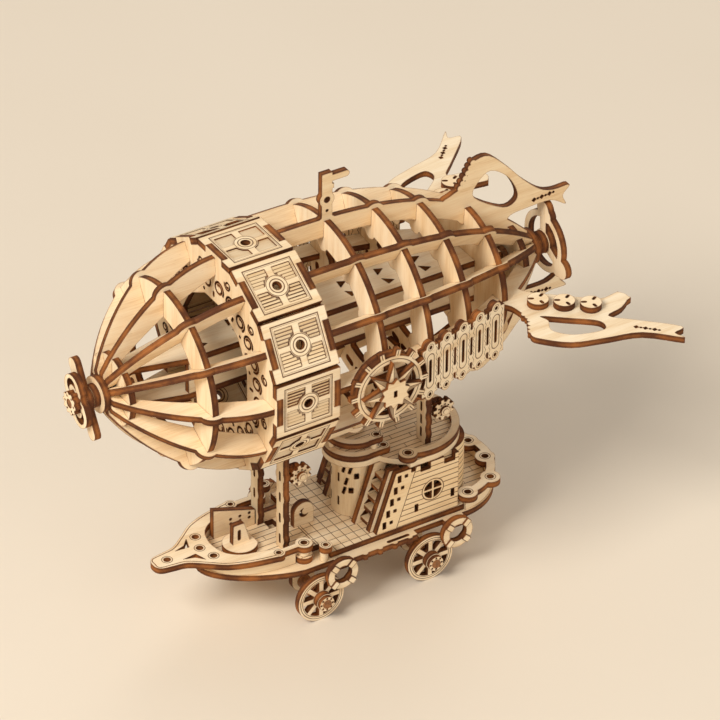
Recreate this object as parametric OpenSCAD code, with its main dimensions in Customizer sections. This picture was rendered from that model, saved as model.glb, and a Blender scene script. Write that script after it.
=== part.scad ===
// Plywood airship model: a ribbed envelope with fins, carried over a small ship on wheels.
// Millimetres, +Z up, +X to the nose, +Y to the port side, wheels stand on z = 0.

/* [Plywood] */
// thickness of every sheet
ply = 3; // [2.9:0.05:3.1]
// clearance on each side of a slot or a notch
fit = 0.05; // [0.03:0.01:0.1]
// radial running clearance of shafts and pegs
run = 0.06; // [0.03:0.01:0.09]

/* [Envelope] */
// height of the envelope axis above the ground
axis_z = 135; // [133:0.5:138]
// largest radius of the envelope
bag_r = 51; // [50:0.25:52]
// distance between the two rings of the band
band_len = 28; // [27:0.25:29]
// length of the nose ribs
nose_len = 54.5; // [53.5:0.25:56]
// length of the tail stringers
tail_len = 125.5; // [124:0.25:127]
// radial depth of a stringer
rib_depth = 9; // [8.5:0.1:9.5]
// radial width of a ring frame
frame_w = 13; // [12:0.25:14]
// height of the rounded bump over a ring
bump_h = 1.4; // [1:0.1:1.8]
// width of the ring teeth that show between the panel ears
tooth_w = 13; // [12:0.25:14]
// radius of the opening in the scroll ring
scroll_open_r = 27; // [26:0.25:28]

/* [Tail fins] */
// reach of the wings from the axis
wing_reach = 94; // [92:0.5:96]
// radius of the discs on the wings
disc_r = 4.7; // [4.4:0.1:4.9]
// height of the mast top over the axis
mast_top = 73; // [71:0.5:75]
// radius of the hanging eye in the mast
eye_r = 1.5; // [1.4:0.05:1.7]

/* [Propellers] */
// radius of both propeller shafts
shaft_r = 2; // [1.8:0.05:2.2]
// reach of the bar of the nose propeller
nose_blade = 18.25; // [16:0.25:18.5]
// reach of the tail propeller blades
tail_blade = 20.3; // [18.5:0.1:20.5]

/* [Wheels and gears] */
// radius of the road wheels
wheel_r = 11.5; // [11:0.1:11.7]
// distance between the two axles
wheel_base = 55.9; // [54:0.25:58]
// radius of the axles
axle_r = 2; // [1.8:0.05:2.1]
// distance of the wheel middle from the centre plane
wheel_y = 29.2; // [29.1:0.05:29.3]
// outer radius of the post gears
gear_r = 5.3; // [5:0.05:5.4]
// radius of the pegs that the gears turn on
peg_r = 1.4; // [1.2:0.05:1.6]

/* [Ship] */
// gap between the wheels and the ledges over them
wheel_gap = 0.7; // [0.5:0.1:1.5]
// half width of the hull floor
hull_y = 26.8; // [26:0.1:27]
// height of the upper deck board above the main deck
cabin_h = 29.3; // [28:0.1:30]
// radius of the round tower wall
tower_r = 9.4; // [9:0.05:9.6]
// radius of the tow eye at the bow tip
tow_r = 1.6; // [1.4:0.05:1.8]
// outer radius of the lifebuoys
buoy_r = 7.6; // [7.4:0.05:7.7]

/* [Hidden] */
$fn = 72;

PALE = [0.90, 0.79, 0.60];
WARM = [0.84, 0.71, 0.50];
DARK = [0.62, 0.44, 0.27];

// stations along the axis, counted from the middle of the band
xb = band_len / 2;
nose_x0 = xb + ply / 2;
nose_x1 = nose_x0 + nose_len;
tail_x0 = -xb - ply / 2;
tail_x1 = tail_x0 - tail_len;
nose_ring_x = nose_x0 + 0.431 * nose_len;
nose_disc_x = nose_x1 - 2 * ply;
tail_disc_x = tail_x1 + 3 * ply;
// places of the four ring frames as shares of the tail length
frame_share = [0.1873, 0.3753, 0.5554, 0.7498];
frame_x = [for (f = frame_share) tail_x0 - f * tail_len];
cap_r = 8.2;
boss_r = 5.2;
hub_in = 5.95;
nose_tip_r = 7.6;
tail_tip_r = 8.4;
flat_r = bag_r - ply;
panel_w = 2 * flat_r * tan(15) - 0.3;
lap = rib_depth / 2;
spine_h = 10.5;
spine_x0 = nose_disc_x - ply / 2;
spine_x1 = frame_x[3] - 12;
spine_side_x = xb + 20;

// stack of the nose and tail propellers
nose_prop_x = nose_x1 + 2 * ply + 0.4;
nose_tip_x = nose_prop_x + 3 * ply;
tail_prop_x = tail_x1 - 3 * ply - 0.4;
wing_tip_x = tail_x1 - 23;
x_mid = -(nose_tip_x + wing_tip_x) / 2;

// plies of the ship
hull_z = 2 * wheel_r + wheel_gap;
deck_z = hull_z + ply;
deck_top = deck_z + ply;
rail_z = deck_top + ply;
rail_top = rail_z + ply;
upper_z = deck_top + cabin_h;
upper_top = upper_z + ply;
front_axle_x = -xb - 5.5;
rear_axle_x = front_axle_x - wheel_base;
wheel_in = wheel_y - ply / 2;
wheel_out = wheel_y + ply / 2;
side_y = wheel_out + 0.5;
stern_x = -96;
bow_x = 24.5;
cab_y = 23.5;
tower_x = -54;
upper_stern_x = -80;
upper_w = 24.5;
front_post_x = -12;
front_post_y = 10.7;
rear_post_x = frame_x[2] + ply;
rear_post_y = 13;
gear_off = ply / 2 + 0.6 + gear_r;
front_gear = [front_post_x - gear_off, axis_z - 68.2];
rear_gear = [rear_post_x - gear_off, upper_top + 16];
front_arm_y = 8.6;
rear_arm_y = 12.5;
arm_gap = 0.4;

// outlines of the envelope
function nose_u(x) = min(1, (x - xb) / (nose_len + ply / 2 + 1));
function nose_out(x) = nose_tip_r
    + (bag_r - 1.5 - nose_tip_r) * pow(max(0, 1 - nose_u(x) * nose_u(x)), 0.9);
function nose_hump(x) = max(0, 1 - pow((x - nose_ring_x) / 24, 2));
function nose_in(x) = max(hub_in, nose_out(x) - rib_depth + 0.5 - 4 * nose_hump(x));
function tail_u(x) = min(1, (-xb - x) / (tail_len + ply / 2 + 1));
function tail_out(x) = tail_tip_r + (bag_r - tail_tip_r) * (1 - pow(max(0, tail_u(x)), 3));
function tail_in(x) = max(hub_in, tail_out(x) - rib_depth);
function mix(a, b, t) = a + (b - a) * t;
function nose_lap(x) = nose_out(x) - lap;
function tail_lap(x) = tail_out(x) - lap;

// smooth closed outline through a few control points
function spl(a, b, c, d, t) = 0.5 * (2 * b + (c - a) * t + (2 * a - 5 * b + 4 * c - d) * t * t
    + (3 * b - a - 3 * c + d) * t * t * t);
function smooth(p, n) = [for (i = [0 : len(p) - 1]) for (k = [0 : n - 1])
    spl(p[(i + len(p) - 1) % len(p)], p[i], p[(i + 1) % len(p)], p[(i + 2) % len(p)], k / n)];
function flip(p) = [for (i = [len(p) - 1 : -1 : 0]) [p[i][0], -p[i][1]]];

// placing helpers: every sheet is drawn flat and set into the model once
module put() {
  translate([x_mid, 0, 0]) children();
}
module spoke(a) {
  put() translate([0, 0, axis_z]) rotate([a, 0, 0])
    linear_extrude(height = ply, center = true) children();
}
module across(x) {
  put() translate([x, 0, axis_z]) rotate([90, 0, 90])
    linear_extrude(height = ply, center = true) children();
}
module upright(x) {
  put() translate([x, 0, 0]) rotate([90, 0, 90])
    linear_extrude(height = ply, center = true) children();
}
module along(y) {
  put() translate([0, y, 0]) rotate([90, 0, 0])
    linear_extrude(height = ply, center = true) children();
}
module level(z) {
  put() translate([0, 0, z]) linear_extrude(height = ply) children();
}
module disc_x(x, r, l, bore) {
  put() translate([x, 0, axis_z]) rotate([0, 90, 0]) difference() {
    cylinder(h = l, r = r);
    translate([0, 0, -1]) cylinder(h = l + 2, r = bore);
  }
}
module pair() {
  children();
  mirror([0, 1, 0]) children();
}
module slot(l, w) {
  square([l - w, w], center = true);
  translate([(w - l) / 2, 0]) circle(d = w);
  translate([(l - w) / 2, 0]) circle(d = w);
}

// nose ribs
module nose_rib_2d() {
  n = 16;
  difference() {
    union() {
      polygon(concat(
        [for (i = [0 : n]) [mix(nose_x0, nose_x1, i / n), nose_out(mix(nose_x0, nose_x1, i / n))]],
        [for (i = [n : -1 : 0]) [mix(nose_x0, nose_x1, i / n), nose_in(mix(nose_x0, nose_x1, i / n))]]));
      translate([nose_ring_x, nose_out(nose_ring_x) + bump_h - 5.4]) circle(r = 5.4);
      translate([xb - ply / 2, nose_in(nose_x0) + 1.5]) square([ply + 1, 3]);
    }
    translate([nose_ring_x - ply / 2 - fit, nose_in(nose_ring_x) - 4])
      square([ply + 2 * fit, nose_lap(nose_ring_x) + fit - nose_in(nose_ring_x) + 4]);
    translate([nose_disc_x - ply / 2 - fit, 0])
      square([ply + 2 * fit, nose_lap(nose_disc_x) + fit]);
  }
}
module nose_ribs() {
  color(PALE) for (a = [0 : 30 : 330]) spoke(a) nose_rib_2d();
}

// rings, notched from outside for the stringers
module rim_notches(r, n) {
  for (a = [0 : 360 / n : 359]) rotate(a)
    translate([r - fit, -ply / 2 - fit]) square([30, ply + 2 * fit]);
}
// pairs of slots between the stringers of the lower half
module rim_slots(r, l) {
  spread = asin((l + 1.6) / 2 / r);
  for (a = [195 : 30 : 345]) for (s = [-1, 1])
    rotate(a + s * spread) translate([r, 0]) rotate(90) slot(l, l / 2);
}
module nose_ring() {
  r = nose_out(nose_ring_x) - 0.8;
  color(PALE) across(nose_ring_x) difference() {
    circle(r = r, $fn = 120);
    circle(r = r - frame_w);
    rim_notches(nose_lap(nose_ring_x), 12);
  }
}
module hub_disc_2d(r, l) {
  difference() {
    circle(r = r);
    circle(r = shaft_r + run);
    rim_notches(l, 12);
  }
}
module hub_discs() {
  color(WARM) across(nose_disc_x)
    hub_disc_2d(nose_out(nose_disc_x) - 2.5, nose_lap(nose_disc_x));
  color(WARM) across(tail_disc_x)
    hub_disc_2d(tail_out(tail_disc_x) - 2.5, tail_lap(tail_disc_x));
}
module nose_cap() {
  color(WARM) union() {
    disc_x(nose_x1, cap_r, ply, shaft_r + run);
    disc_x(nose_x1 + ply, boss_r, ply, shaft_r + run);
  }
}
module tail_cap() {
  color(WARM) union() {
    disc_x(tail_x1 - ply, cap_r, ply, shaft_r + run);
    disc_x(tail_x1 - 3 * ply, boss_r, 2 * ply, shaft_r + run);
  }
}

// the band: two twelve sided rings with teeth, and the panels between them
module tooth_ring_2d(tenon_r) {
  difference() {
    union() {
      rotate(15) circle(r = flat_r / cos(15), $fn = 12);
      for (a = [0 : 30 : 330]) rotate(a)
        translate([flat_r - 2, -tooth_w / 2]) square([2 + ply + 0.4, tooth_w]);
    }
    for (a = [0 : 30 : 330]) rotate(a)
      translate([tenon_r - fit, -ply / 2 - fit]) square([3 + 2 * fit, ply + 2 * fit]);
  }
}
module half_ring_2d(r, w) {
  difference() {
    circle(r = r, $fn = 32);
    circle(r = r - w, $fn = 32);
    translate([-r - 1, -2 * r - 0.02]) square([2 * r + 2, 2 * r]);
  }
}
// a curl of three half rings, each one wall narrower than the last
module scroll_2d(r, w) {
  step = 0.72 * w;
  half_ring_2d(r, w);
  translate([-step, 0]) rotate(180) half_ring_2d(r - step, w);
  half_ring_2d(r - 2 * step, w);
}
module band_front_ring() {
  color(PALE) across(xb) difference() {
    tooth_ring_2d(nose_in(nose_x0) + 1.5);
    rotate(15) circle(r = scroll_open_r / cos(15), $fn = 12);
    for (a = [0 : 30 : 330]) {
      rotate(a + 7.5) translate([scroll_open_r + 8.6, 0]) rotate(-60) scroll_2d(3.9, 1);
      rotate(a + 22.5) translate([scroll_open_r + 8.6, 0]) rotate(-120) scroll_2d(3.9, 1);
      rotate(a + 15) translate([scroll_open_r + 15.6, 0]) rotate(90) scroll_2d(2.6, 0.8);
      rotate(a) translate([scroll_open_r + 3.6, 0]) slot(3, 1.4);
      rotate(a + 15) translate([scroll_open_r + 3.2, 0]) circle(r = 0.8, $fn = 24);
    }
  }
}
module band_rear_ring() {
  color(PALE) across(-xb) difference() {
    tooth_ring_2d(tail_in(tail_x0) + 1.5);
    square(2 * spine_h + 2 * fit, center = true);
    for (a = [0 : 30 : 330]) rotate(a) translate([29, 0]) slot(13, 4);
    for (a = [15 : 30 : 345]) rotate(a) translate([38, 0]) rotate(90) slot(8, 2.6);
  }
}
module panel_2d() {
  difference() {
    union() {
      square([band_len - ply - 2 * fit, panel_w], center = true);
      for (s = [-1, 1]) translate([-xb - ply / 2, s > 0 ? tooth_w / 2 + fit : -panel_w / 2])
        square([band_len + ply, (panel_w - tooth_w) / 2 - fit]);
    }
    circle(r = 2.1);
  }
}
module panel_sunk_2d() {
  for (sx = [-1, 1]) for (sy = [-1, 1]) translate([sx * 5.9, sy * 5]) difference() {
    square([8.6, 7.6], center = true);
    translate([-sx * 5.9, -sy * 5]) circle(r = 5.2);
  }
}
module band_panels() {
  color(PALE) for (a = [0 : 30 : 330]) put() translate([0, 0, axis_z]) rotate([a, 0, 0])
    translate([0, bag_r, 0]) rotate([90, 0, 0]) difference() {
      linear_extrude(height = ply) panel_2d();
      translate([0, 0, -0.5]) linear_extrude(height = 1.2) panel_sunk_2d();
    }
}

// ring frames of the tail part
module frame_2d(x) {
  r = tail_out(x) - 0.8;
  difference() {
    circle(r = r, $fn = 120);
    difference() {
      circle(r = r - frame_w, $fn = 96);
      for (a = [0 : 30 : 330]) rotate(a) translate([r - frame_w + 1.5, 0]) circle(r = 4.2);
    }
    rim_notches(tail_lap(x), 12);
    rim_slots(r - 5.5, 6);
  }
}
module ring_frame_1() {
  color(PALE) across(frame_x[0]) frame_2d(frame_x[0]);
}
module ring_frame_2() {
  color(PALE) across(frame_x[1]) frame_2d(frame_x[1]);
}
module ring_frame_3() {
  color(PALE) across(frame_x[2]) frame_2d(frame_x[2]);
}
module ring_frame_4() {
  r = tail_out(frame_x[3]) - 0.8;
  color(PALE) across(frame_x[3]) difference() {
    circle(r = r, $fn = 120);
    square(2 * spine_h + 2 * fit, center = true);
    rim_notches(tail_lap(frame_x[3]), 12);
    rim_slots(r - 6, 4.4);
  }
}

// box spine on the axis, held in the rear band ring and the last frame
module spine_plate_2d() {
  difference() {
    polygon([[spine_x0, 3.5], [spine_side_x, spine_h], [spine_x1, spine_h],
             [spine_x1, -spine_h], [spine_side_x, -spine_h], [spine_x0, -3.5]]);
    for (i = [0 : 6]) translate([spine_side_x - 8 - 18.5 * i, 0]) {
      polygon([[0, 1.4], [-0.8, 6.4], [-4.6, 4.8]]);
      polygon([[0, -1.4], [-4.6, -4.8], [-0.8, -6.4]]);
    }
  }
}
module spine_plates() {
  color(WARM) level(axis_z + spine_h - ply) spine_plate_2d();
  color(WARM) level(axis_z - spine_h) spine_plate_2d();
}
module spine_sides() {
  h = spine_h - ply;
  color(WARM) for (s = [-1, 1]) along(s * (spine_h - ply / 2)) difference() {
    translate([spine_x1, axis_z - h]) square([spine_side_x - spine_x1, 2 * h]);
    for (i = [0 : 6]) translate([spine_side_x - 17 - 18.5 * i, axis_z]) slot(8, 3);
  }
}

// stringers of the tail part
module stringer_2d(bumps) {
  n = 24;
  difference() {
    union() {
      polygon(concat(
        [for (i = [0 : n]) [mix(tail_x0, tail_x1, i / n), tail_out(mix(tail_x0, tail_x1, i / n))]],
        [for (i = [n : -1 : 0]) [mix(tail_x0, tail_x1, i / n), tail_in(mix(tail_x0, tail_x1, i / n))]]));
      if (bumps) for (x = frame_x) translate([x, tail_out(x) + bump_h - 5.4]) circle(r = 5.4);
      translate([-xb - ply / 2 - 1, tail_in(tail_x0) + 1.5]) square([ply + 1, 3]);
      children();
    }
    for (x = frame_x) translate([x - ply / 2 - fit, tail_in(x) - 4])
      square([ply + 2 * fit, tail_lap(x) + fit - tail_in(x) + 4]);
    translate([tail_disc_x - ply / 2 - fit, 0])
      square([ply + 2 * fit, tail_lap(tail_disc_x) + fit]);
  }
}
// fins are drawn from the tail end of the stringers, forward positive
module comb(x, r, n, dx, dr) {
  for (i = [0 : n - 1]) translate([x + dx * i, r + dr * i]) circle(r = 1.3, $fn = 24);
}
module fin_2d() {
  translate([tail_x1, 0]) difference() {
    union() {
      polygon(smooth([[44, 37], [39.5, 41], [36, 42.5], [32.8, 46], [30.6, 51], [29, 54.4], [21, 55],
                      [11, 46], [3, 37], [-6, 29], [-13, 26.4], [-21.4, 26.2], [-18, 21.8], [-19.6, 16.8],
                      [-11.5, 21.4], [2, 21.4], [9, 20.5], [14, 17], [26, 22]], 4));
      comb(35.4, 43.2, 6, -1.25, 2.2);
    }
    polygon(smooth([[28, 36], [26.4, 43], [20, 47], [11.5, 41.5], [6.4, 33], [6.4, 27.5], [13, 26]], 4));
    ornaments([-3, 24.4], -4);
  }
}
// a short row of small cut lozenges and dots near a fin tip
module ornaments(at, turn) {
  translate(at) rotate(turn) for (i = [0 : 2]) translate([-4 * i, 0]) {
    rotate(45) square(1.7, center = true);
    translate([-2, 0]) circle(r = 0.6, $fn = 24);
  }
}
module top_stringer() {
  color(PALE) spoke(90) difference() {
    stringer_2d(true) {
      fin_2d();
      mast_2d();
    }
    translate([frame_x[0], mast_eye_z]) circle(r = eye_r);
    translate([frame_x[0], mast_eye_z - 5.4]) circle(r = 0.7, $fn = 24);
  }
}
mast_w = 5.2;
mast_eye_z = mast_top - 13;
pointer_l = 9.5;
pointer_w = 3;
module mast_2d() {
  x = frame_x[0];
  translate([x - mast_w / 2, tail_out(x) - 2]) square([mast_w, mast_top - tail_out(x) + 2]);
  translate([x, mast_eye_z]) circle(r = mast_w / 2 + 1);
  translate([x - pointer_l, mast_top - 4.4]) square([pointer_l - 1.5, pointer_w]);
  translate([x - pointer_l, mast_top - 4.4 + pointer_w / 2]) circle(r = pointer_w / 2);
  translate([x - mast_w / 2 - 0.8, mast_top - 8]) square([mast_w + 0.8, 2.2]);
}
module bottom_stringer() {
  color(PALE) spoke(-90) stringer_2d(true) fin_2d();
}
// the wing is drawn for one reach and stretched from its root to the reach that is set
wing_root = 30;
wing_drawn = 94;
wing_stretch = (wing_reach - wing_root) / (wing_drawn - wing_root);
wing_peg_r = 1.5;
function reached(list) = [for (p = list) [p[0], wing_root + (p[1] - wing_root) * wing_stretch]];
wing_spots = reached([[20.5, 41.3], [11.5, 48], [2.5, 55]]);
wing_comb = reached([[29.7, 44.6], [29.4, 47], [29.9, 49.4], [31.2, 51.8], [32.7, 54.2], [34.1, 56.6]]);
wing_mark = reached([[-6, 77]])[0];
module wing_2d() {
  translate([tail_x1, 0]) difference() {
    union() {
      polygon(smooth(reached([[34, 30], [31, 37], [30, 43], [29.4, 48], [32, 53], [35.4, 58.6], [34, 63],
                              [24, 72.4], [10, 77], [-6, 81.6], [-19, wing_drawn], [-17.6, 89],
                              [-23, 86.6], [-9, 72.6], [-0.5, 64], [-9, 61.5], [-16, 56], [-13.6, 51],
                              [-5, 51.4], [9, 40], [20, 30], [24, 20]]), 4));
      polygon(reached([[2, 53], [2, 63.5], [-16.6, 57.4], [-14.2, 50.8]]));
      for (c = wing_comb) translate(c) circle(r = 1.3, $fn = 24);
    }
    polygon(smooth(reached([[24.4, 49.4], [23.4, 54], [26, 60.6], [20, 68], [8, 71.6], [4.6, 69.4],
                            [5.6, 64.4], [14.6, 57]]), 4));
    ornaments(wing_mark, -atan(wing_stretch));
    for (c = wing_spots) translate(c) circle(r = wing_peg_r, $fn = 24);
  }
}
module port_wing() {
  color(PALE) spoke(0) stringer_2d(false) wing_2d();
}
module starboard_wing() {
  color(PALE) spoke(180) stringer_2d(false) wing_2d();
}
module upper_stringers() {
  color(PALE) for (a = [30, 60, 120, 150]) spoke(a) stringer_2d(true);
}
module lower_stringers() {
  color(PALE) for (a = [210, 240, 300, 330]) spoke(a) stringer_2d(true);
}

// trim on the envelope: a compass of three layers and a grille on each side
compass_x = -xb - 22.2;
compass_z = axis_z - 2.3;
compass_y = bag_r + 0.1 + ply / 2;
compass_r = 16;
compass_in = 12.8;
module compass_backs() {
  color(WARM) pair() along(compass_y) translate([compass_x, compass_z]) difference() {
    circle(r = compass_r);
    circle(r = compass_in - 0.4);
  }
}
module compass_rings() {
  color(PALE) pair() along(compass_y + ply) translate([compass_x, compass_z]) difference() {
    union() {
      circle(r = compass_r);
      for (a = [0 : 360 / 14 : 359]) rotate(a) translate([compass_r - 1, -1.1]) square([4, 2.2]);
    }
    circle(r = compass_in);
  }
}
module star_2d(r, q, n) {
  polygon([for (i = [0 : 2 * n - 1]) (i % 2 == 0 ? r : q) * [cos(180 * i / n), sin(180 * i / n)]]);
}
module compass_stars() {
  color(PALE) pair() put() translate([compass_x, compass_y + 1.5 * ply, compass_z]) rotate([-90, 0, 0])
    difference() {
      union() {
        linear_extrude(height = ply) star_2d(compass_in + 1.8, 6.4, 8);
        linear_extrude(height = 1.5 * ply) rotate(11.25) star_2d(7.4, 5.5, 10);
      }
      translate([-0.8, -1.6, -1]) cube([1.6, 3.2, 2 * ply + 2]);
    }
}
grille_x0 = compass_x - compass_r - 0.3;
grille_l = 51;
grille_drop_z = 3;
grille_n = 5;
grille_pitch = grille_l / grille_n;
grille_h = 24;
grille_u0 = tail_u(grille_x0);
grille_u1 = tail_u(grille_x0 - grille_l);
grille_u = sqrt((grille_u0 * grille_u0 + grille_u0 * grille_u1 + grille_u1 * grille_u1) / 3);
grille_mid = -xb - grille_u * (tail_len + ply / 2 + 1);
grille_drop = tail_out(grille_x0) - tail_out(grille_x0 - grille_l);
grille_gap = tail_out(grille_mid) - tail_out(grille_x0) + grille_drop * (grille_x0 - grille_mid) / grille_l;
grille_turn = atan(grille_drop / grille_l);
module grille_2d() {
  difference() {
    union() {
      translate([-grille_l, -grille_h / 2]) square([grille_l, grille_h]);
      for (i = [0 : grille_n - 1]) for (s = [-1, 1])
        translate([-grille_pitch * (i + 0.5), s * grille_h / 2]) circle(r = 2.8);
    }
    translate([(compass_x - grille_x0) / cos(grille_turn), compass_z - axis_z + grille_drop_z])
      circle(r = compass_r + 3.4);
    for (i = [0 : grille_n - 1]) translate([-grille_pitch * (i + 0.5), 0]) {
      rotate(90) slot(11.6, 1.5);
      for (s = [-1, 1]) translate([0, s * grille_h / 2]) circle(r = 0.9, $fn = 24);
    }
    for (i = [1 : grille_n - 1]) translate([-grille_pitch * i, 0]) {
      square([1.2, 9], center = true);
      for (s = [-1, 1]) translate([0, s * grille_h / 2]) square([1.2, 7], center = true);
    }
  }
}
module grilles() {
  color(PALE) pair() put() translate([grille_x0, tail_out(grille_x0) + grille_gap + fit,
                                         axis_z - grille_drop_z])
    rotate([0, 0, grille_turn]) rotate([90, 0, 0]) translate([0, 0, -ply])
      linear_extrude(height = ply) grille_2d();
}
module wing_discs() {
  color(PALE) for (s = [-1, 1]) for (c = wing_spots)
    put() translate([tail_x1 + c[0], s * c[1], axis_z + ply / 2]) union() {
      linear_extrude(height = ply) difference() {
        circle(r = disc_r);
        for (a = [90, 210, 330]) rotate(a) translate([3, 0]) slot(2.6, 1.3);
      }
      translate([0, 0, -ply]) cylinder(h = ply + 1, r = wing_peg_r - fit);
    }
}

// propellers
nose_turn = -60;
loop_l = 24;
loop_w = 13;
module nose_loop_2d() {
  rotate(nose_turn) difference() {
    slot(loop_l, loop_w);
    circle(r = shaft_r + fit);
    for (s = [-1, 1]) {
      translate([s * (loop_l / 2 - 5.4), 0]) difference() {
        circle(r = 3.6);
        translate([-s * 2.1, 0]) circle(r = 2.9);
      }
      translate([0, s * (loop_w / 2 + 1.9)]) circle(r = 3);
    }
  }
}
module nose_bar_2d() {
  rotate(nose_turn) difference() {
    union() {
      slot(2 * nose_blade, 6);
      circle(r = 5.5);
    }
    circle(r = shaft_r + fit);
  }
}
module tail_prop_2d() {
  difference() {
    union() {
      circle(r = 5.6);
      difference() {
        circle(r = tail_blade - 5.8);
        circle(r = tail_blade - 8.8);
      }
      for (a = [93 : 120 : 333]) rotate(a) {
        translate([3, -2.2]) square([tail_blade - 7, 4.4]);
        translate([tail_blade - 4.5, 0]) circle(r = 4.5);
        translate([tail_blade - 6.6, -2.6]) circle(r = 3.4);
      }
    }
    circle(r = shaft_r + fit);
  }
}
module cap_2d(r, teeth) {
  difference() {
    union() {
      circle(r = r - 0.9);
      for (a = [0 : 360 / teeth : 359]) rotate(a) translate([r - 0.9, 0]) circle(r = 0.9, $fn = 24);
    }
    for (a = [0 : 60 : 300]) rotate(a) translate([r - 1.9, 0]) circle(r = 0.5, $fn = 24);
  }
}
module nose_propeller_back() {
  color(WARM) across(nose_prop_x + ply / 2) nose_bar_2d();
}
module nose_propeller() {
  color(PALE) across(nose_prop_x + 1.5 * ply) nose_loop_2d();
}
module nose_propeller_cap() {
  color(PALE) across(nose_prop_x + 2.5 * ply) difference() {
    cap_2d(5.4, 10);
    circle(r = shaft_r + fit);
  }
}
module nose_shaft() {
  color(DARK) put() translate([nose_disc_x - 9, 0, axis_z]) rotate([0, 90, 0]) union() {
    cylinder(h = nose_tip_x - 0.3 - nose_disc_x + 9, r = shaft_r);
    translate([0, 0, 4.5]) cylinder(h = 2.6, r = shaft_r + 2.2);
  }
}
module tail_propeller() {
  color(PALE) across(tail_prop_x - ply / 2) tail_prop_2d();
}
module tail_propeller_cap() {
  color(PALE) across(tail_prop_x - 1.5 * ply) difference() {
    cap_2d(5.4, 10);
    circle(r = shaft_r + fit);
  }
}
module tail_shaft() {
  color(DARK) put() translate([tail_prop_x - 2 * ply + 0.3, 0, axis_z]) rotate([0, 90, 0]) union() {
    cylinder(h = tail_disc_x - tail_prop_x + 2 * ply + 7, r = shaft_r);
    translate([0, 0, tail_disc_x - tail_prop_x + 2 * ply + 1.7]) cylinder(h = 2.6, r = shaft_r + 2.2);
  }
}

// ship hull: a floor with ledges, a deck between bow wall and stern bulwark, and the rails
lobe_x = -17.1;
lobe_y = 19.9;
lobe_r = 3.9;
small_lobe = [-24.4, 26];
small_lobe_r = 2.9;
wall_x0 = lobe_x + lobe_r + 0.7;
wall_y = hull_y - 4;
deck_step_x = -27.5;
deck_in = 5.2;
ledge_x = [-69, -28];
hatch = [4.6, 5.6];
function hull_side() = [for (i = [0 : 12]) let (t = cos(7.5 * i))
    [mix(-xb, bow_x, t), hull_y * pow(1 - pow(t, 1.3), 0.55)]];
function prow_side(d) = [for (i = [0 : 12]) let (t = cos(7.5 * i))
    [mix(wall_x0, bow_x - d, t), (wall_y - d) * sqrt(1 - pow(t, 2.5))]];
module prow_2d(d) {
  polygon(concat(prow_side(d), flip(prow_side(d))));
}
module hull_2d() {
  stern = [[stern_x, hull_y - 0.1]];
  polygon(concat(hull_side(), stern, flip(stern), flip(hull_side())));
  translate([stern_x, 0]) circle(r = hull_y);
}
// a strip along both sides, from x forward and from y outward
module both_strips(x, l, y, w) {
  for (s = [-1, 1]) translate([x, s > 0 ? y : -y - w]) square([l, w]);
}
module both_discs(x, y, r) {
  for (s = [-1, 1]) translate([x, s * y]) circle(r = r);
}
module hull_floor() {
  color(WARM) level(hull_z) difference() {
    union() {
      hull_2d();
      both_strips(ledge_x[0], ledge_x[1] - ledge_x[0], hull_y - 2, side_y - hull_y + 1);
      both_strips(ledge_x[1] - 8, 8, hull_y - 2.1, side_y - hull_y + 2.1);
      both_strips(-94, 10, hull_y - 2, side_y - hull_y + 2);
      for (i = [0 : 3]) both_discs(ledge_x[0] + 4 + 7.6 * i, side_y - 1.4, 1.4);
    }
    for (s = [-1, 1]) translate([-60, s * (side_y - 2.8)]) slot(11.4, 1.5);
  }
}
module main_deck() {
  w = wall_y - deck_in;
  color(PALE) level(deck_z) difference() {
    union() {
      prow_2d(deck_in);
      translate([deck_step_x - 1, 0.2 - w]) square([wall_x0 - deck_step_x + 1.1, 2 * w - 0.4]);
      both_discs(lobe_x, lobe_y, lobe_r);
      translate([stern_x, 1.6 - hull_y]) square([deck_step_x - stern_x, 2 * hull_y - 3.2]);
      translate([stern_x, 0]) circle(r = hull_y - 4);
    }
    translate([front_post_x - ply / 2 - 5, -front_post_y + 2]) square(hatch);
  }
}
module bow_wall() {
  color(PALE) put() translate([0, 0, deck_z]) linear_extrude(height = 2 * ply) difference() {
    prow_2d(deck_in - 0.2 - ply);
    prow_2d(deck_in - 0.2);
    translate([wall_x0 - 1, deck_in - wall_y]) square([1.4, 2 * (wall_y - deck_in)]);
  }
}
module stern_bulwark() {
  color(PALE) put() translate([stern_x, 0, deck_z]) linear_extrude(height = 2 * ply) difference() {
    circle(r = hull_y - 0.8);
    circle(r = hull_y - 0.8 - ply);
    translate([-0.3, -hull_y]) square([2 * hull_y, 2 * hull_y]);
  }
}
module keel_2d() {
  difference() {
    union() {
      translate([rear_axle_x - 14, hull_z - 6]) square([wheel_base + 28, 6]);
      for (x = [front_axle_x, rear_axle_x]) {
        translate([x, wheel_r]) circle(r = 5.5);
        translate([x - 5.5, wheel_r]) square([11, hull_z - wheel_r]);
      }
    }
    for (x = [front_axle_x, rear_axle_x]) translate([x, wheel_r]) circle(r = axle_r + run);
    for (i = [0 : 3]) translate([rear_axle_x + 13 + 10 * i, hull_z - 3]) slot(6, 2.2);
  }
}
module keel_ribs() {
  color(WARM) pair() along(14) keel_2d();
}
rail_out = [[46.6, 2], [44.4, 4.4], [39, 5.4], [33, 6.6], [26, 11.6], [19, 16.8], [10, 20.2], [0, 22.4],
            [-5, 23]];
rail_in = [[-6.6, 20.4], [-5, 17.8], [2, 15.6], [10, 13.6], [15.4, 9.2], [17.6, 3]];
rail_cut = [[33.7, 3.4], [28.5, 4.9], [25.1, 8.6], [27, 2.7]];
rail_eye = [-4.1, 20.4];
module bow_rail_2d() {
  polygon(smooth(concat(rail_out, rail_in, flip(rail_in), flip(rail_out)), 3));
}
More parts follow.
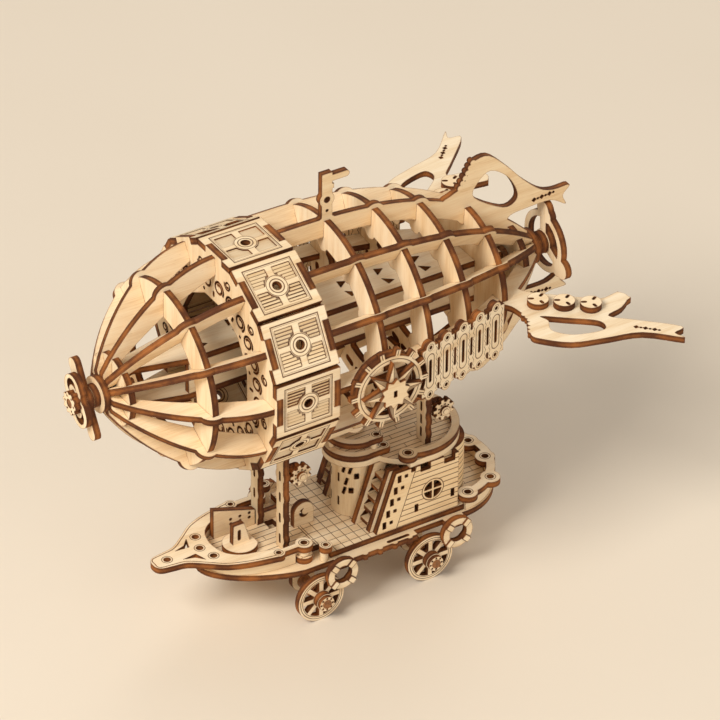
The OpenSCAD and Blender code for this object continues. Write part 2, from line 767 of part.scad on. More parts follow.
module bow_rail() {
  color(PALE) level(rail_z) difference() {
    union() {
      bow_rail_2d();
      both_discs(rail_eye[0], rail_eye[1], 2.9);
      both_strips(lobe_x, rail_eye[0] - lobe_x, lobe_y - 1.2, 2.6);
      both_discs(lobe_x, lobe_y, lobe_r);
      both_discs(small_lobe[0], small_lobe[1], small_lobe_r);
    }
    translate([39.6, 0]) circle(r = tow_r);
    translate([23.4, 0]) circle(r = 1.6);
    both_discs(21, 7.8, 1.6);
    both_discs(rail_eye[0], rail_eye[1], 1.2);
    both_discs(lobe_x, lobe_y, 1.5);
    both_discs(small_lobe[0], small_lobe[1], 1.2);
    polygon(rail_cut);
    polygon(flip(rail_cut));
  }
}
// eyes of the stern rail: angle about the stern, and distance in from the hull side
stern_eyes = [for (e = [[94, 1.4], [128, 0.2], [163, 3.1]])
    [stern_x + (hull_y - e[1]) * cos(e[0]), (hull_y - e[1]) * sin(e[0])]];
module stern_rail() {
  color(PALE) level(rail_z) difference() {
    union() {
      translate([stern_x, 0]) difference() {
        circle(r = hull_y + 0.6);
        circle(r = hull_y - 3.4);
        translate([-1.5, -40]) square([40, 80]);
      }
      for (e = stern_eyes) both_discs(e[0], e[1], 4.5);
    }
    for (e = stern_eyes) both_discs(e[0], e[1], 1.6);
  }
}
module rail_spacers() {
  color(PALE) pair() {
    put() translate([lobe_x, lobe_y, deck_top]) cylinder(h = ply, r = 2.4);
    put() translate([small_lobe[0], hull_y - 2, deck_z]) cylinder(h = 2 * ply, r = 1.8);
    put() translate([tower_x - 4, upper_r - 3, upper_top + ply]) cylinder(h = ply, r = 1.4);
  }
  color(PALE) put() translate([tower_x + 11, 0, upper_top + ply]) cylinder(h = ply, r = 1.2);
}
seat = [4.4, 1.9];
seat_r = 7.8;
module bow_seat() {
  color(PALE) put() translate([seat[0], seat[1], deck_top]) union() {
    linear_extrude(height = ply) intersection() {
      circle(r = seat_r);
      translate([-0.88 * seat_r, -seat_r - 1]) square([2 * seat_r, 2 * seat_r + 2]);
    }
    translate([-0.5, ply / 2 - 0.7, ply - 0.5]) rotate([90, 0, 0]) linear_extrude(height = ply) difference() {
      polygon([[-4.3, 0], [4.3, 0], [4, 10.5], [-1.4, 10.5]]);
      translate([1.2, 5]) rotate(90) slot(5.5, 1.5);
    }
  }
}
// a wall on the starboard side of the fore deck, parted at the post, and a locker with a moon
module partitions() {
  color(PALE) along(-front_post_y) {
    difference() {
      polygon([[front_post_x + 2.1, deck_top], [11, deck_top], [11, deck_top + 15],
               [front_post_x + 2.1, deck_top + 8]]);
      for (i = [0 : 2]) for (k = [0, 1])
        translate([2.4 - 4.7 * i, deck_top + 5 + 2.4 * k]) circle(r = 0.7, $fn = 24);
    }
    translate([front_post_x - 12, deck_top]) square([9.8, 4.5]);
  }
  color(PALE) along(0.5) difference() {
    union() {
      translate([-33, deck_top]) square([10, 7]);
      translate([-28, deck_top + 7]) circle(r = 5);
    }
    difference() {
      translate([-28, deck_top + 6.6]) circle(r = 2.3);
      translate([-28.9, deck_top + 7.2]) circle(r = 1.9);
    }
  }
}

// deck house
cabin_x0 = -50.9;
cabin_x1 = -92.9;
cabin_rake = 9.8;
module cabin_wall_2d() {
  z = deck_top;
  difference() {
    polygon([[cabin_x0, z], [cabin_x0 - cabin_rake, upper_z], [cabin_x1, upper_z], [cabin_x1, z]]);
    translate([-79.7, z + cabin_h * 0.48]) difference() {
      circle(r = 4.5);
      square([10, 1], center = true);
      square([1, 10], center = true);
    }
    for (i = [0 : 4]) let (f = mix(0.12, 0.88, i / 4))
      translate([cabin_x0 - 2.9 - cabin_rake * f, z + cabin_h * f]) {
        square([1.8, 3.6], center = true);
        translate([-3.5, 0.6]) square(1.6, center = true);
      }
    translate([-71.4, z + 7]) square([1.8, 4], center = true);
    translate([-90, z + 8.5]) square([1.8, 4], center = true);
    translate([-70.6, upper_z - 2]) square([2.2, 3]);
    translate([-78.4, upper_z - 3.6]) square([5.2, 4.6]);
    translate([-91, upper_z - 3.6]) square([5.6, 4.6]);
  }
}
module cabin_walls() {
  color(PALE) pair() along(cab_y) cabin_wall_2d();
}
module round_end_2d(x0, x1, w, r) {
  translate([x1 + r, -w]) square([x0 - x1 - r, 2 * w]);
  translate([x1, r - w]) square([x0 - x1, 2 * (w - r)]);
  translate([x1 + r, r - w]) circle(r = r);
  translate([x1 + r, w - r]) circle(r = r);
}
module stern_wall() {
  w = cab_y - ply / 2;
  x0 = -86;
  x1 = -104;
  color(PALE) put() translate([0, 0, deck_top]) linear_extrude(height = cabin_h) difference() {
    round_end_2d(x0, x1, w, 14);
    round_end_2d(x0 + 1, x1 + ply, w - ply, 14 - ply);
    translate([x0, -w - 1]) square([30, 2 * w + 2]);
  }
}
// cuts in the tower wall: angle from the front, and height as a share of the wall
tower_slits = [[18, 0.25], [18, 0.68]];
tower_slots = [[34, 0.86], [52, 0.85], [41.5, 0.64], [35.5, 0.47]];
tower_panes = [[69, 0.74], [54.5, 0.48]];
tower_lean = -15;
module tower_cut(spot, w, h, lean) {
  rotate(spot[0]) translate([tower_r - ply / 2, 0, cabin_h * spot[1]]) rotate([lean, 0, 0])
    cube([2 * ply, w, h], center = true);
}
module tower() {
  color(WARM) put() translate([tower_x, 0, deck_top]) difference() {
    linear_extrude(height = cabin_h) difference() {
      circle(r = tower_r);
      circle(r = tower_r - ply);
      translate([-40, -20]) square([36, 40]);
    }
    for (s = [0, 1]) mirror([0, s, 0]) {
      for (c = tower_slits) tower_cut(c, 0.8, 4.5, 0);
      for (c = tower_slots) tower_cut(c, 1.3, 4, tower_lean);
      for (c = tower_panes) tower_cut(c, 2.1, 2.9, 0);
    }
  }
}
// stairs: an open raked board by the tower, a plain one by the cabin wall, and treads between them
stair_y = tower_r + 1.1 + ply / 2;
stair_x0 = -46.9;
module raked_2d(x, w) {
  polygon([[x, deck_top], [x - cabin_rake, upper_z], [x - cabin_rake - w, upper_z], [x - w, deck_top]]);
}
module stairs() {
  y0 = stair_y + ply / 2;
  color(WARM) pair() union() {
    along(stair_y) difference() {
      raked_2d(stair_x0, 7);
      for (i = [0 : 3]) let (f = 0.12 + 0.2 * i)
        translate([stair_x0 - 3.4 - cabin_rake * f, deck_top + cabin_h * f])
          polygon([[1.8, 0], [-2.6, 4.2], [-2.2, 0]]);
    }
    along(cab_y - ply) raked_2d(stair_x0 - 2.3, 5.6);
    for (i = [0 : 4]) let (f = 0.06 + 0.18 * i)
      put() translate([stair_x0 - 6.4 - cabin_rake * f, y0 - 0.2, deck_top + cabin_h * f])
        cube([4, cab_y - 1.5 * ply - y0 + 0.4, ply * 0.6]);
  }
}
upper_r = 13.5;
module upper_deck() {
  color(PALE) level(upper_z) union() {
    translate([tower_x, 0]) circle(r = upper_r);
    translate([upper_stern_x, 0.2 - upper_r]) square([tower_x - upper_stern_x, 2 * upper_r - 0.4]);
    translate([upper_stern_x, 0.2 - upper_w]) square([12, 2 * upper_w - 0.4]);
    translate([upper_stern_x, 0]) circle(r = upper_w);
  }
}
module upper_rear_rail() {
  color(PALE) level(upper_top) difference() {
    union() {
      translate([upper_stern_x, 0]) difference() {
        circle(r = upper_w);
        circle(r = upper_w - 3.6);
        translate([11, -40]) square([30, 80]);
      }
      both_discs(upper_stern_x + 11, upper_w - 3.4, 4.2);
    }
    both_discs(upper_stern_x + 11, upper_w - 3.4, 1.6);
  }
}
module front_rail_2d(r, x1) {
  difference() {
    union() {
      translate([tower_x, 0]) difference() {
        circle(r = r);
        circle(r = r - 3.6);
        translate([-40.5, -20]) square([40, 40]);
      }
      both_strips(x1, tower_x - x1 + 1, r - 3.4, 3.2);
      both_discs(x1, r - 3, 3);
    }
    both_discs(x1, r - 3, 1.3);
  }
}
module upper_front_rails() {
  color(PALE) level(upper_top) front_rail_2d(upper_r, tower_x - 3 * ply);
  color(PALE) level(upper_top + 2 * ply) front_rail_2d(upper_r - 1.1, tower_x - 2 * ply);
}

// rings hung on the side ledges, with four bands each: distance behind each axle and under the deck
buoy_back = [9, 12];
buoy_drop = [6.4, 6.8];
module lifebuoy(x, z) {
  put() translate([x, side_y, z]) rotate([-90, 0, 0]) union() {
    linear_extrude(height = ply) difference() {
      circle(r = buoy_r);
      circle(r = buoy_r - 3.2);
    }
    for (a = [45 : 90 : 315]) rotate([0, 0, a]) translate([buoy_r - 3.4, -1.4, 0])
      cube([3.6, 2.8, ply + 0.7]);
  }
}
module lifebuoys() {
  color(PALE) pair() {
    lifebuoy(front_axle_x - buoy_back[0], deck_top - buoy_drop[0]);
    lifebuoy(rear_axle_x - buoy_back[1], deck_top - buoy_drop[1]);
  }
}

// posts between ship and envelope, with arms and pegs for the gears
module post_2d(y, z0, z1, w) {
  n = 5;
  difference() {
    union() {
      translate([y - w / 2, z0]) square([w, z1 - z0]);
      for (i = [0 : n - 1]) translate([y, mix(z0 + 5, z1 - 5, i / (n - 1))]) circle(r = w / 2 + 0.7);
    }
    for (i = [0 : n - 1]) translate([y, mix(z0 + 5, z1 - 5, i / (n - 1))]) rotate(90) slot(5, 1.3);
  }
}
module arm(y, x, c) {
  put() translate([0, y, 0]) rotate([90, 0, 0]) linear_extrude(height = ply, center = true) union() {
    translate([c[0], c[1] - 3]) square([x - c[0], 6]);
    translate(c) circle(r = 3);
  }
}
module peg(y, c) {
  put() translate([c[0], y, c[1]]) rotate([-90, 0, 0]) union() {
    cylinder(h = 2 * ply + 2 * arm_gap, r = peg_r);
    translate([0, 0, 1.5 * ply + 2 * arm_gap]) cylinder(h = 1.2, r = peg_r + 0.9);
  }
}
module front_post() {
  upright(front_post_x) post_2d(front_post_y, deck_top, axis_z - bag_r, 5.6);
  arm(front_arm_y, front_post_x - ply / 2 + 0.5, front_gear);
  peg(front_arm_y, front_gear);
}
module front_posts() {
  color(PALE) pair() front_post();
}
module rear_post() {
  upright(rear_post_x) post_2d(rear_post_y, upper_top, axis_z - 36, 7);
  arm(rear_arm_y, rear_post_x - ply / 2 + 0.5, rear_gear);
  peg(rear_arm_y, rear_gear);
}
module rear_posts() {
  color(PALE) pair() rear_post();
}
module gear_2d() {
  difference() {
    union() {
      circle(r = gear_r - 1.3);
      for (a = [0 : 40 : 320]) rotate(a) translate([gear_r - 2, -0.8]) square([2, 1.6]);
    }
    circle(r = peg_r + run);
    for (a = [20 : 40 : 340]) rotate(a) translate([gear_r - 2.5, 0]) circle(r = 0.4, $fn = 24);
  }
}
module gear_at(y, c) {
  color(PALE) along(y) translate(c) gear_2d();
}
module gear_port_front() {
  gear_at(front_arm_y + ply + arm_gap, front_gear);
}
module gear_starboard_front() {
  gear_at(-front_arm_y - ply - arm_gap, front_gear);
}
module gear_port_rear() {
  gear_at(rear_arm_y + ply + arm_gap, rear_gear);
}
module gear_starboard_rear() {
  gear_at(-rear_arm_y - ply - arm_gap, rear_gear);
}

// running gear
module axle_at(x) {
  l = wheel_out + 2 * ply;
  color(DARK) put() translate([x, 0, wheel_r]) rotate([-90, 0, 0]) union() {
    translate([0, 0, -l + 0.5]) cylinder(h = 2 * l - 1, r = axle_r);
    for (s = [0, 1]) mirror([0, 0, s]) translate([0, 0, 14 + ply / 2 + 0.4])
      cylinder(h = wheel_in - 14.2 - ply / 2 - 0.4, r = axle_r + 1.2);
  }
}
module wheel_2d() {
  difference() {
    circle(r = wheel_r, $fn = 96);
    difference() {
      circle(r = wheel_r - 2.5);
      circle(r = 4.2);
      for (a = [0 : 45 : 135]) rotate(a) square([2 * wheel_r, 2.1], center = true);
    }
    circle(r = axle_r + fit);
  }
}
module wheels_at(x) {
  color(PALE) pair() put() translate([x, wheel_in, wheel_r]) rotate([-90, 0, 0]) union() {
    linear_extrude(height = ply) wheel_2d();
    translate([0, 0, ply - 0.5]) linear_extrude(height = ply + 0.5) difference() {
      circle(r = 4);
      circle(r = axle_r + fit);
    }
    translate([0, 0, 2 * ply - 0.5]) linear_extrude(height = ply * 0.8) difference() {
      circle(r = 3.6);
      circle(r = axle_r + fit);
      for (a = [0 : 45 : 315]) rotate(a) translate([2.85, 0]) circle(r = 0.48, $fn = 24);
    }
  }
}
module front_axle() {
  axle_at(front_axle_x);
}
module rear_axle() {
  axle_at(rear_axle_x);
}
module front_wheels() {
  wheels_at(front_axle_x);
}
module rear_wheels() {
  wheels_at(rear_axle_x);
}

nose_ribs();
nose_ring();
hub_discs();
nose_cap();
band_front_ring();
band_rear_ring();
band_panels();
ring_frame_1();
ring_frame_2();
ring_frame_3();
ring_frame_4();
tail_cap();
spine_plates();
spine_sides();
top_stringer();
bottom_stringer();
port_wing();
starboard_wing();
upper_stringers();
lower_stringers();
compass_backs();
compass_rings();
compass_stars();
grilles();
wing_discs();
nose_propeller();
nose_propeller_back();
nose_propeller_cap();
nose_shaft();
tail_propeller();
tail_propeller_cap();
tail_shaft();
hull_floor();
stern_bulwark();
main_deck();
keel_ribs();
bow_wall();
bow_rail();
stern_rail();
rail_spacers();
bow_seat();
partitions();
cabin_walls();
stern_wall();
tower();
stairs();
upper_deck();
upper_rear_rail();
upper_front_rails();
lifebuoys();
front_posts();
rear_posts();
front_axle();
front_wheels();
rear_axle();
rear_wheels();
gear_port_front();
gear_starboard_front();
gear_port_rear();
gear_starboard_rear();
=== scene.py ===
"""Looks of the plywood airship model: laser-cut birch sheets, scorched edges, burnt lines and slats."""

import logging
import math
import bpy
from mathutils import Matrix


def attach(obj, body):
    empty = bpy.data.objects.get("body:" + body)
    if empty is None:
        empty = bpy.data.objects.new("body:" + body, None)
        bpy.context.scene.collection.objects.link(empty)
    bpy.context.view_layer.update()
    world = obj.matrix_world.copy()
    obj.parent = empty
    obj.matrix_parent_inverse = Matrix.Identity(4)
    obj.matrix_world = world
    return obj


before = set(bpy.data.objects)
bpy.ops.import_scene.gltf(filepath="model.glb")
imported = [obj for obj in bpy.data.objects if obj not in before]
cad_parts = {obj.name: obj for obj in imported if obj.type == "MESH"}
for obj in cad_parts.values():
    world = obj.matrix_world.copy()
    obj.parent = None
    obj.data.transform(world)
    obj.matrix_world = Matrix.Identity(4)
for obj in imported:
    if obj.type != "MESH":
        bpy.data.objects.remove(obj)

import zlib
from dataclasses import dataclass
from enum import Enum
from functools import reduce

import bpy
import numpy as np
from mathutils import Matrix, Vector

LOG = logging.getLogger("airship_model")
MM = 0.001
Number = float | int
Colour = tuple[float, float, float, float]
Pair = tuple[float, float]
Triple = tuple[float, float, float]


def tint(red: int, green: int, blue: int) -> Colour:
    """Linear colour of three screen values from 0 to 255."""
    shares = np.array([red, green, blue]) / 255.0
    linear = np.where(shares <= 0.04045, shares / 12.92, ((shares + 0.055) / 1.055) ** 2.4)
    return (*linear.tolist(), 1.0)


@dataclass(frozen=True)
class Places:
    """Places that several pieces share, in millimetres in the CAD frame."""

    ply: float = 3.0
    axis_z: float = 135.0
    band_x: float = 39.3
    bag_r: float = 51.0
    compass: Pair = (3.1, 132.7)
    star_top: float = 60.6
    grille: Pair = (-13.2, 52.44)
    grille_turn: float = math.radians(14.73)
    grille_pitch: float = 10.2
    grille_z: float = 132.0
    deck_top: float = 29.7
    cabin_h: float = 29.3
    tower_x: float = -14.7
    tower_r: float = 9.4
    front_axle_x: float = 19.8
    rear_axle_x: float = -36.1
    wheel_r: float = 11.5
    front_arms: Pair = (0.0, 25.75)
    rear_arms: float = -44.45
    treads: Pair = (13.55, 18.95)


@dataclass(frozen=True)
class Marks:
    """Places, sizes and counts of the burnt lines and of the painted shade on the sunk panel floors;
    lengths are in millimetres.
    """

    eye_gap: float = 0.75
    panel_frame: Pair = (11.45, 10.6)
    inner_frame: Pair = (10.75, 9.9)
    panel_rings: Pair = (4.75, 3.2)
    # Depths of the sunk panel floors that get painted shade, and the plain panels, whose painted shade is
    # lighter.
    sunk: Pair = (0.35, 1.2)
    plain_panels: tuple[int, ...] = (3, -1, -3, -5)
    compass_circle: float = 14.5
    pegs: int = 14
    peg_foot: float = 16.1
    star_points: int = 8
    slot_half: float = 6.4
    loop_r: float = 2.2
    lobe_up: float = 12.0
    lobe_ring: float = 1.6
    zigzag_pitch: float = 3.2
    zigzag_swing: float = 1.6
    zigzag_out: float = 3.3
    zigzag_top: float = 11.0
    plank: Pair = (3.2, 31.0)
    upper_plank: Pair = (2.7, 23.0)
    stagger: float = 0.37
    tile: float = 4.4
    tiled: Pair = (-40.0, 14.3)
    wall_planks: int = 11
    wall_rake: float = 9.8
    strip_x: float = -22.0
    window_x: float = -40.4
    window_rise: float = 0.48
    window_rings: Pair = (5.5, 5.6)
    rim_circles: Pair = (10.45, 9.45)
    rear_buoy: Pair = (-48.1, 22.9)
    buoy_step: Pair = (58.9, 0.4)
    buoys_part_x: float = -20.0
    buoy_band: float = 1.4


PLACES = Places()
MARKS = Marks()


class Wire:
    """One shader value; sums, products and the like of wires add Math nodes."""

    def __init__(self, board: "Board", socket: bpy.types.NodeSocket) -> None:
        """Keeps the socket and the board it belongs to."""
        self.board = board
        self.socket = socket

    def other(self, name: str) -> "Wire":
        """Another output of the same node."""
        return Wire(self.board, self.socket.node.outputs[name])

    def __add__(self, value: "Wire | Number") -> "Wire":
        """Sum."""
        return self.board.math("ADD", self, value)

    def __sub__(self, value: "Wire | Number") -> "Wire":
        """Difference."""
        return self.board.math("SUBTRACT", self, value)

    def __rsub__(self, value: Number) -> "Wire":
        """Difference from a number."""
        return self.board.math("SUBTRACT", value, self)

    def __mul__(self, value: "Wire | Number") -> "Wire":
        """Product."""
        return self.board.math("MULTIPLY", self, value)

    def __truediv__(self, value: "Wire | Number") -> "Wire":
        """Quotient."""
        return self.board.math("DIVIDE", self, value)

    def __abs__(self) -> "Wire":
        """Size without sign."""
        return self.board.math("ABSOLUTE", self)

    def __gt__(self, value: "Wire | Number") -> "Wire":
        """1 where this is larger, else 0."""
        return self.board.math("GREATER_THAN", self, value)

    def __lt__(self, value: "Wire | Number") -> "Wire":
        """1 where this is smaller, else 0."""
        return self.board.math("LESS_THAN", self, value)

    __radd__ = __add__

    def largest(self, value: "Wire | Number") -> "Wire":
        """The larger of two values."""
        return self.board.math("MAXIMUM", self, value)

    def rounded(self) -> "Wire":
        """Nearest whole number."""
        return self.board.math("ROUND", self)

    def floor(self) -> "Wire":
        """Whole number below."""
        return self.board.math("FLOOR", self)

    def fraction(self) -> "Wire":
        """Part after the decimal point."""
        return self.board.math("FRACT", self)

    def root(self) -> "Wire":
        """Square root."""
        return self.board.math("SQRT", self)

    def hypot(self, value: "Wire") -> "Wire":
        """Length of the line with these two legs."""
        return (self * self + value * value).root()

    def wrapped(self, step: float) -> "Wire":
        """Signed way to the nearest multiple of a step."""
        return self - (self / step).rounded() * step


class Board:
    """The node tree of one finish."""

    def __init__(self, name: str) -> None:
        """Starts an empty material of that name."""
        self.material = bpy.data.materials.new(name)
        self.material.use_nodes = True
        self.tree = self.material.node_tree
        self.tree.nodes.clear()

    def node(self, kind: str, settings: dict | None = None, inputs: dict | None = None,
             output: str | int = 0) -> Wire:
        """Adds one node.

        Args:
            kind: Blender's name of the node type.
            settings: attributes, set first; "stops" holds the places and colours of a ramp.
            inputs: a value or a wire for each socket, by name or number.
            output: name or number of the socket to hand back.

        Returns:
            The wire from that output.
        """
        made = self.tree.nodes.new(kind)
        for key, value in (settings or {}).items():
            if key == "stops":
                self.set_stops(made.color_ramp, value)
            else:
                setattr(made, key, value)
        for key, value in (inputs or {}).items():
            if isinstance(value, Wire):
                self.tree.links.new(value.socket, made.inputs[key])
            else:
                made.inputs[key].default_value = value
        return Wire(self, made.outputs[output]) if len(made.outputs) else Wire(self, made.inputs[0])

    def set_stops(self, ramp: bpy.types.ColorRamp, stops: list[tuple[float, Colour]]) -> None:
        """Fills a colour ramp with places and colours."""
        for spare in list(ramp.elements)[1:]:
            ramp.elements.remove(spare)
        ramp.elements[0].position, ramp.elements[0].color = stops[0]
        for place, colour in stops[1:]:
            ramp.elements.new(place).color = colour

    def math(self, operation: str, *values: Wire | Number) -> Wire:
        """One Math node on one to three values."""
        return self.node("ShaderNodeMath", {"operation": operation}, dict(enumerate(values)))

    def mix(self, share: Wire | Number, low: Wire | Colour, high: Wire | Colour,
            blend: str = "MIX") -> Wire:
        """Blends two colours; share 0 gives the first and 1 the second."""
        return self.node("ShaderNodeMix", {"data_type": "RGBA", "blend_type": blend, "clamp_factor": True},
                         {0: share, 6: low, 7: high}, 2)

    def vector(self, x: Wire | Number, y: Wire | Number, z: Wire | Number) -> Wire:
        """A vector of three values."""
        return self.node("ShaderNodeCombineXYZ", None, {0: x, 1: y, 2: z})

    def split(self, vector: Wire) -> tuple[Wire, Wire, Wire]:
        """The three values of a vector."""
        x = self.node("ShaderNodeSeparateXYZ", None, {0: vector})
        return x, x.other("Y"), x.other("Z")

    def noise(self, vector: Wire, detail: float = 2.0, roughness: float = 0.5) -> Wire:
        """Soft noise around 0.5, one wave to a unit of the vector."""
        return self.node("ShaderNodeTexNoise", {"noise_dimensions": "3D"},
                         {"Vector": vector, "Scale": 1.0, "Detail": detail, "Roughness": roughness})

    def ease(self, value: Wire, low: float, high: float) -> Wire:
        """Rises smoothly from 0 at low to 1 at high; low may be the larger one."""
        start, end = (low, high) if low < high else (high, low)
        bottom, top = (0.0, 1.0) if low < high else (1.0, 0.0)
        return self.node("ShaderNodeMapRange", {"interpolation_type": "SMOOTHSTEP"},
                         {"Value": value, "From Min": start, "From Max": end, "To Min": bottom,
                          "To Max": top})

    def surface(self, inputs: dict) -> bpy.types.Material:
        """Ends the tree in one Principled shader with these inputs."""
        shader = self.node("ShaderNodeBsdfPrincipled", None, inputs)
        self.node("ShaderNodeOutputMaterial", None, {"Surface": shader})
        return self.material


class SheetLie(Enum):
    """Which way the faces of a cut sheet point."""

    ACROSS = "along the envelope axis"
    ALONG = "to port and starboard"
    LEVEL = "up and down"
    SPOKE = "round the envelope axis"
    DRUM = "out from the envelope axis"
    TOWER = "out from the tower axis"
    SHELL = "all round, from a bent upright wall"
    POST = "along the axis, with arms that face the sides"
    SEAT = "up below, to the sides above"
    STAIR = "to the sides, with level treads"
    BENT = "all round: a deck with a bent wall along its rim"


@dataclass
class SheetWires:
    """Where a point lies on its sheet, in millimetres; facing is 1 on the faces, plate is its number."""

    facing: Wire
    depth: Wire
    along: Wire
    across: Wire
    plate: Wire | Number = 0.0


class SheetReader:
    """Reads the place and the facing on a sheet from Object coordinates."""

    SHARE = math.pi / 6

    def __init__(self, board: Board) -> None:
        """Splits place and normal once for all readings."""
        self.board = board
        coordinates = board.node("ShaderNodeTexCoord", None, None, "Object")
        scaled = board.node("ShaderNodeVectorMath", {"operation": "SCALE"},
                            {0: coordinates, "Scale": 1.0 / MM})
        self.x, self.y, self.z = board.split(scaled)
        self.nx, self.ny, self.nz = (abs(part) for part in board.split(coordinates.other("Normal")))
        self.signed = board.split(coordinates.other("Normal"))

    def read(self, lie: SheetLie) -> SheetWires:
        """The sheet's wires for one way of lying."""
        readers = {SheetLie.ACROSS: self.across, SheetLie.ALONG: self.along, SheetLie.LEVEL: self.level,
                   SheetLie.SPOKE: self.spoke, SheetLie.DRUM: self.drum, SheetLie.TOWER: self.tower,
                   SheetLie.SHELL: self.shell, SheetLie.POST: self.post, SheetLie.SEAT: self.seat,
                   SheetLie.STAIR: self.stair, SheetLie.BENT: self.bent}
        return readers[lie]()

    def across(self) -> SheetWires:
        """Sheets that stand square to the axis, grain upright."""
        return SheetWires(self.nx, self.x, self.z, self.y)

    def along(self) -> SheetWires:
        """Upright sheets along the model, grain along it."""
        return SheetWires(self.ny, abs(self.y), self.x, self.z)

    def level(self) -> SheetWires:
        """Flat decks, grain along the model."""
        return SheetWires(self.nz, self.z, self.x, self.y)

    def turned(self) -> tuple[Wire, Wire, Wire, Wire, Wire]:
        """Radial and tangential place and normal at the nearest of the twelve plates, and its number."""
        up = self.z - PLACES.axis_z
        plate = (self.board.math("ARCTAN2", up, self.y) / self.SHARE).rounded()
        cosine = self.board.math("COSINE", plate * self.SHARE)
        sine = self.board.math("SINE", plate * self.SHARE)
        _, side, rise = self.signed
        return (self.y * cosine + up * sine, up * cosine - self.y * sine,
                abs(side * cosine + rise * sine), abs(rise * cosine - side * sine), plate)

    def spoke(self) -> SheetWires:
        """Ribs and stringers that stand out from the axis, grain along it."""
        out, round_, _, facing, plate = self.turned()
        return SheetWires(facing, round_, self.x, out, plate)

    def drum(self) -> SheetWires:
        """Panels of the band, grain along the axis."""
        out, round_, facing, _, plate = self.turned()
        return SheetWires(facing, out, self.x, round_, plate)

    def tower(self) -> SheetWires:
        """The bent tower wall, grain upright."""
        east = self.x - PLACES.tower_x
        radius = east.hypot(self.y)
        facing = abs((self.signed[0] * east + self.signed[1] * self.y) / radius)
        turn = self.board.math("ARCTAN2", self.y, east)
        return SheetWires(facing, radius, self.z, turn * PLACES.tower_r)

    def shell(self) -> SheetWires:
        """A bent upright wall, whose top and bottom are its cut edges."""
        return SheetWires(1.0 - self.nz, self.z, self.x, self.z)

    def bent(self) -> SheetWires:
        """A deck whose rim shows the face of a bent wall."""
        return SheetWires(self.nx * 0.0 + 1.0, self.z, self.x, self.y + self.z * 0.7)

    def cloud(self, waves: Triple, detail: float, roughness: float = 0.5) -> Wire:
        """Soft noise in space, with so many waves to a millimetre along x, y and z."""
        place = self.board.vector(self.x * waves[0], self.y * waves[1], self.z * waves[2])
        return self.board.noise(place, detail, roughness)

    def blend(self, share: Wire, first: SheetWires, second: SheetWires) -> SheetWires:
        """Takes the second reading where share is 1."""
        pairs = zip((first.facing, first.depth, first.along, first.across),
                    (second.facing, second.depth, second.along, second.across))
        return SheetWires(*(low + (high - low) * share for low, high in pairs))

    def post(self) -> SheetWires:
        """Posts face along the axis; their arms, which lie behind them, face the sides."""
        front = (self.x < PLACES.front_arms[1]) * (self.x > PLACES.front_arms[0])
        rear = self.x < PLACES.rear_arms
        return self.blend(front + rear, self.across(), self.along())

    def seat(self) -> SheetWires:
        """A level base with an upright back."""
        return self.blend(self.z > PLACES.deck_top + PLACES.ply, self.level(), self.along())

    def stair(self) -> SheetWires:
        """Two raked side boards with level treads between them."""
        out = abs(self.y)
        treads = (out > PLACES.treads[0]) * (out < PLACES.treads[1])
        return self.blend(treads, self.along(), self.level())


class Engraving(Enum):
    """Line patterns burnt into the faces."""

    NONE = "none"
    # The band panel pattern also holds the painted shade of the sunk floors.
    PANEL = "frame and rings of a band panel"
    COMPASS_RING = "circle and peg lines"
    COMPASS_STAR = "half shaded points"
    GRILLE = "loops round the slots"
    DECK = "planks on the fore deck, tiles behind"
    UPPER_DECK = "planks with butt joints"
    CABIN = "planks behind a raked strip, ring round the window"
    STERN = "planks all round"
    FRONT_WHEELS = "rim circles"
    REAR_WHEELS = "rim circles, rear"
    LIFEBUOY = "edges of the four bands"


